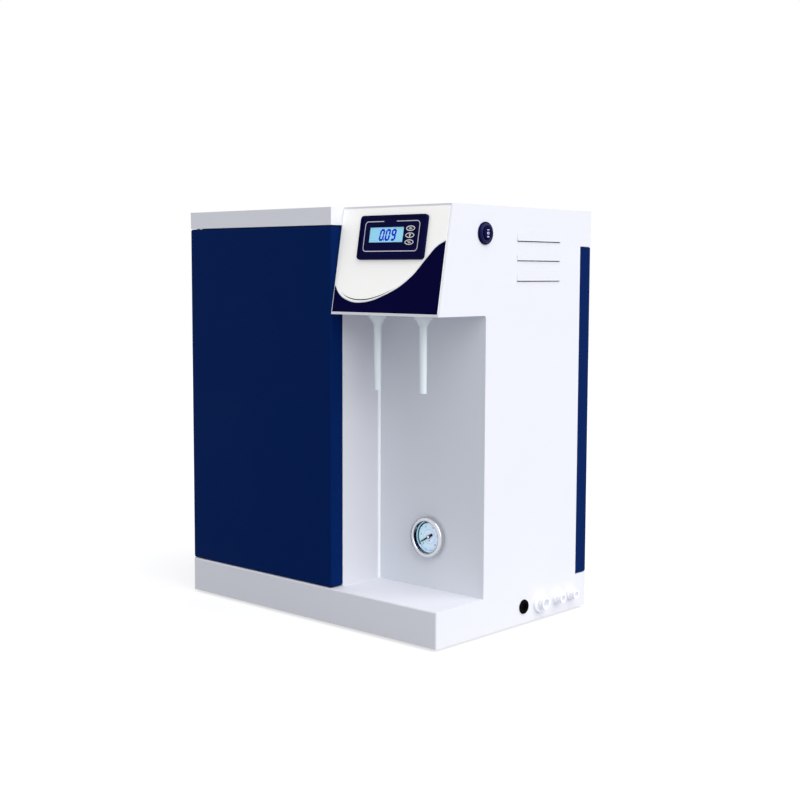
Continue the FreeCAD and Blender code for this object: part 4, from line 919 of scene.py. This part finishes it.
# %% Dial print
green_arc = flat_ring(17.3, 17.3, 1.9, steps=120)
pick("faces", outside_green)
bpy.ops.mesh.delete(type="FACE")
on_dial(green_arc, "dial_arc", green_ink)
fine, coarse = scale_marks(15.2, 16.4, 0.10, 50), scale_marks(14.2, 16.4, 0.25, 10)
on_dial(join_pieces([fine, coarse]), "dial_marks", dial_ink)
figures = [dial_figure(str(number), number / 10) for number in range(0, 11, 2)]
on_dial(join_pieces(figures), "dial_figures", dial_ink)
start_clear()
bpy.ops.mesh.primitive_circle_add(vertices=24, radius=spot_radius * mm, fill_type="NGON",
                                  location=(0, -spot_drop * mm, 0))
on_dial(bpy.context.object, "dial_spot", red_ink)
on_dial(flat_ring(8.4, 8.4, 0.25, steps=96), "dial_inner_line", faint_ink)

# %% [markdown]
# ## The switch's collar and marks
# The mains switch is a round push button. Between its flange and its cap lies a low rounded collar, turned
# from a short profile, in a navy a shade lighter and glossier than the switch: painted highlight on its rim.
# The marks on the cap, a ring between two bars, are printed pale; they ride with the cap when it is pressed.

# %% Collar and marks
flange_face = -2.4
mark_print = 0.05
collar_inside = [(7.4, flange_face - 0.1), (7.4, flange_face + 0.9)]
collar_outside = [(10.6, flange_face), (10.9, flange_face - 0.1)]
inner_round = arc(8.0, flange_face + 0.9, 0.6, 180, 90, 4)
outer_round = arc(9.0, flange_face + 0.5, 1.0, 90, 20, 6)
collar = collar_inside + inner_round + outer_round + collar_outside
# The collar's lighter navy is painted highlight on the switch's rim.
turned("switch_collar", collar, cap_place, rim_highlight_ink, "cabinet", "switch_plastic", 96)
on_cap = "switch_cap"
ring_mark = flat_ring(2.0, 1.4, 0.85)
lay_on(ring_mark, "switch_ring_mark", cap_place, mark_ink, on_cap, mark_print)
for name, row, half_height, finish in (("upper", 3.45, 0.4, outline_ink), ("lower", -3.7, 0.6, mark_ink)):
    bar = rounded_plate(1.8, half_height, 0.3, segments=4)
    mark_place = shift(cap_place, 0, row)
    lay_on(bar, f"switch_{name}_mark", mark_place, finish, on_cap, mark_print)

# %% [markdown]
# ## The lead's bushing
# The rubber bushing in the plinth lets the mains lead in. A black disc in its hole is painted shade, the dark
# inside of the open hole. It is a disc cut twice along two crossing lines, with the narrow strip removed.

# %% Slit disc of painted shade
bush_low, bush_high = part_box("cable_grommet")
bush_middle = (bush_low + bush_high) / 2
shade_disc_depth, shade_disc_radius, shade_disc_thickness = 3.2 * mm, 3.99 * mm, 0.7
bush_at = Matrix.Translation((bush_high.x - shade_disc_depth, bush_middle.y, bush_middle.z))
bush_place = bush_at @ cap_place.to_3x3().to_4x4()
slit, slit_reach = 0.12 * mm, 2.9 * mm
start_clear()
# Painted shade: a black disc in the bushing's hole, dark where the open hole would show shade.
bpy.ops.mesh.primitive_circle_add(vertices=48, radius=shade_disc_radius, fill_type="NGON")
shade_disc = bpy.context.object
bpy.ops.object.mode_set(mode="EDIT")
for reach in (slit, slit_reach):
    for side in (-1, 1):
        for normal in ((1, 0, 0), (0, 1, 0)):
            bpy.ops.mesh.select_all(action="SELECT")
            at = tuple(side * reach * part for part in normal)
            bpy.ops.mesh.bisect(plane_co=at, plane_no=normal)
pick("faces", lambda f: min(abs(c) for c in f.calc_center_median().xy) < slit
     and max(abs(c) for c in f.calc_center_median().xy) < slit_reach)
bpy.ops.mesh.delete(type="FACE")
lay_on(shade_disc, "bushing_shade_disc", bush_place, finishes["black_rubber"], "cabinet",
       shade_disc_thickness)

# %% [markdown]
# ## Bands and grips of the cartridges
# Behind the door stand three cartridges that turn out of their heads by a quarter. Each gets a blank band
# with a stripe, and grip ribs round its foot for the hand. One rib is a box with bevelled edges, spun as
# copies round the cartridge. The two larger housings, which stay in place, get a plain band.

# %% Cartridge dressing
band_blue = solid_finish("band_blue", (0.004, 0.055, 0.20), (0.006, 0.07, 0.24), (0.35, 0.45),
                         skin_scale=1800, strength=0.05, shine=0.3)
band_pale = solid_finish("band_pale", (0.62, 0.72, 0.82), (0.68, 0.78, 0.87), (0.4, 0.5), skin_scale=1800,
                         strength=0.05)
cartridge_radius, polishing_radius, housing_radius = 30.0, 32.0, 29.0
band_span, stripe_span, rib_span = (70, 175), (158, 170), (10, 34)
polishing_span, housing_span = (97, 197), (75, 155)
band_thickness, band_gap, band_edge = 0.25, 0.02, 0.15
rib_width, rib_depth, rib_round, rib_count = 2.4, 2.2, 0.7, 36


def sleeve(name, place, radius, low, high, finish, body):
    inner, outer = radius + band_gap, radius + band_thickness
    profile = [(inner, low), (outer, low + band_edge), (outer, high - band_edge), (inner, high)]
    return turned(name, profile, place, finish, body, "filter_plastic", 96)


def grip_ribs(name, place, radius, low, high, body):
    start_clear()
    bpy.ops.mesh.primitive_cube_add(size=mm, location=(radius * mm, 0, (low + high) / 2 * mm))
    rib = bpy.context.object
    rib.scale = (rib_width, rib_depth, high - low)
    bpy.ops.object.transform_apply(location=True, rotation=False, scale=True)
    bpy.ops.object.mode_set(mode="EDIT")
    bpy.ops.mesh.select_all(action="SELECT")
    bpy.ops.mesh.bevel(offset=rib_round * mm, segments=3, affect="EDGES")
    bpy.ops.mesh.select_all(action="SELECT")
    bpy.ops.mesh.spin(steps=rib_count - 1, dupli=True, angle=2 * math.pi * (rib_count - 1) / rib_count,
                      center=(0, 0, 0), axis=(0, 0, 1))
    return lay_on(rib, name, place, finishes["filter_plastic"], body)


def standing_place(node):
    low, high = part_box(node)
    return Matrix.Translation(((low.x + high.x) / 2, (low.y + high.y) / 2, low.z))


for stage in ("sediment", "carbon", "scale"):
    part = stage + "_cartridge"
    place = standing_place(part)
    sleeve(stage + "_band", place, cartridge_radius, *band_span, band_pale, part)
    sleeve(stage + "_stripe", place, cartridge_radius + band_thickness, *stripe_span, band_blue, part)
    grip_ribs(stage + "_ribs", place, cartridge_radius, *rib_span, part)
polishing_place = standing_place("polishing_cartridge")
sleeve("polishing_band", polishing_place, polishing_radius, *polishing_span, band_pale, "cabinet")
housing_low, housing_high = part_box("membrane_housing")
housing_end = Matrix.Translation((housing_low.x, *((housing_low + housing_high) / 2).yz))
lying_place = housing_end @ Matrix.Rotation(math.pi / 2, 4, "Y")
sleeve("membrane_band", lying_place, housing_radius, *housing_span, band_pale, "cabinet")

# %% [markdown]
# ## The bead in the bay's corner
# A pale bead runs up the corner between the bay's side wall and its back. It glows a little and is painted
# highlight, the bright line of the corner's bend. Its section is a small quarter round, drawn flat from above
# and then drawn up to the full height of the bay.

# %% Corner bead
wall_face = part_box("bay_side_wall")[1].x
back_low, back_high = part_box("bay_back_panel")
bead_size = 2.1
bead_angles = [math.radians(-angle) for angle in range(0, 91, 15)]
bead_section = [(0, 0)] + [(bead_size * math.cos(a), bead_size * math.sin(a)) for a in bead_angles]
# Painted highlight: the bead is pale and glows a little, standing for the bright line of the bend.
bead_highlight_coat = solid_finish("bead_highlight_coat", (0.84, 0.87, 0.90), (0.88, 0.91, 0.94), (0.3, 0.4), skin_scale=600,
                         strength=0.05, glow=0.14)
bead_height = (back_high.z - back_low.z) / mm
bead_place = Matrix.Translation((wall_face, back_low.y, back_low.z))
lay_on(filled_outline(bead_section, range(len(bead_section))), "bay_corner_highlight_bead", bead_place, bead_highlight_coat,
       "cabinet", bead_height)
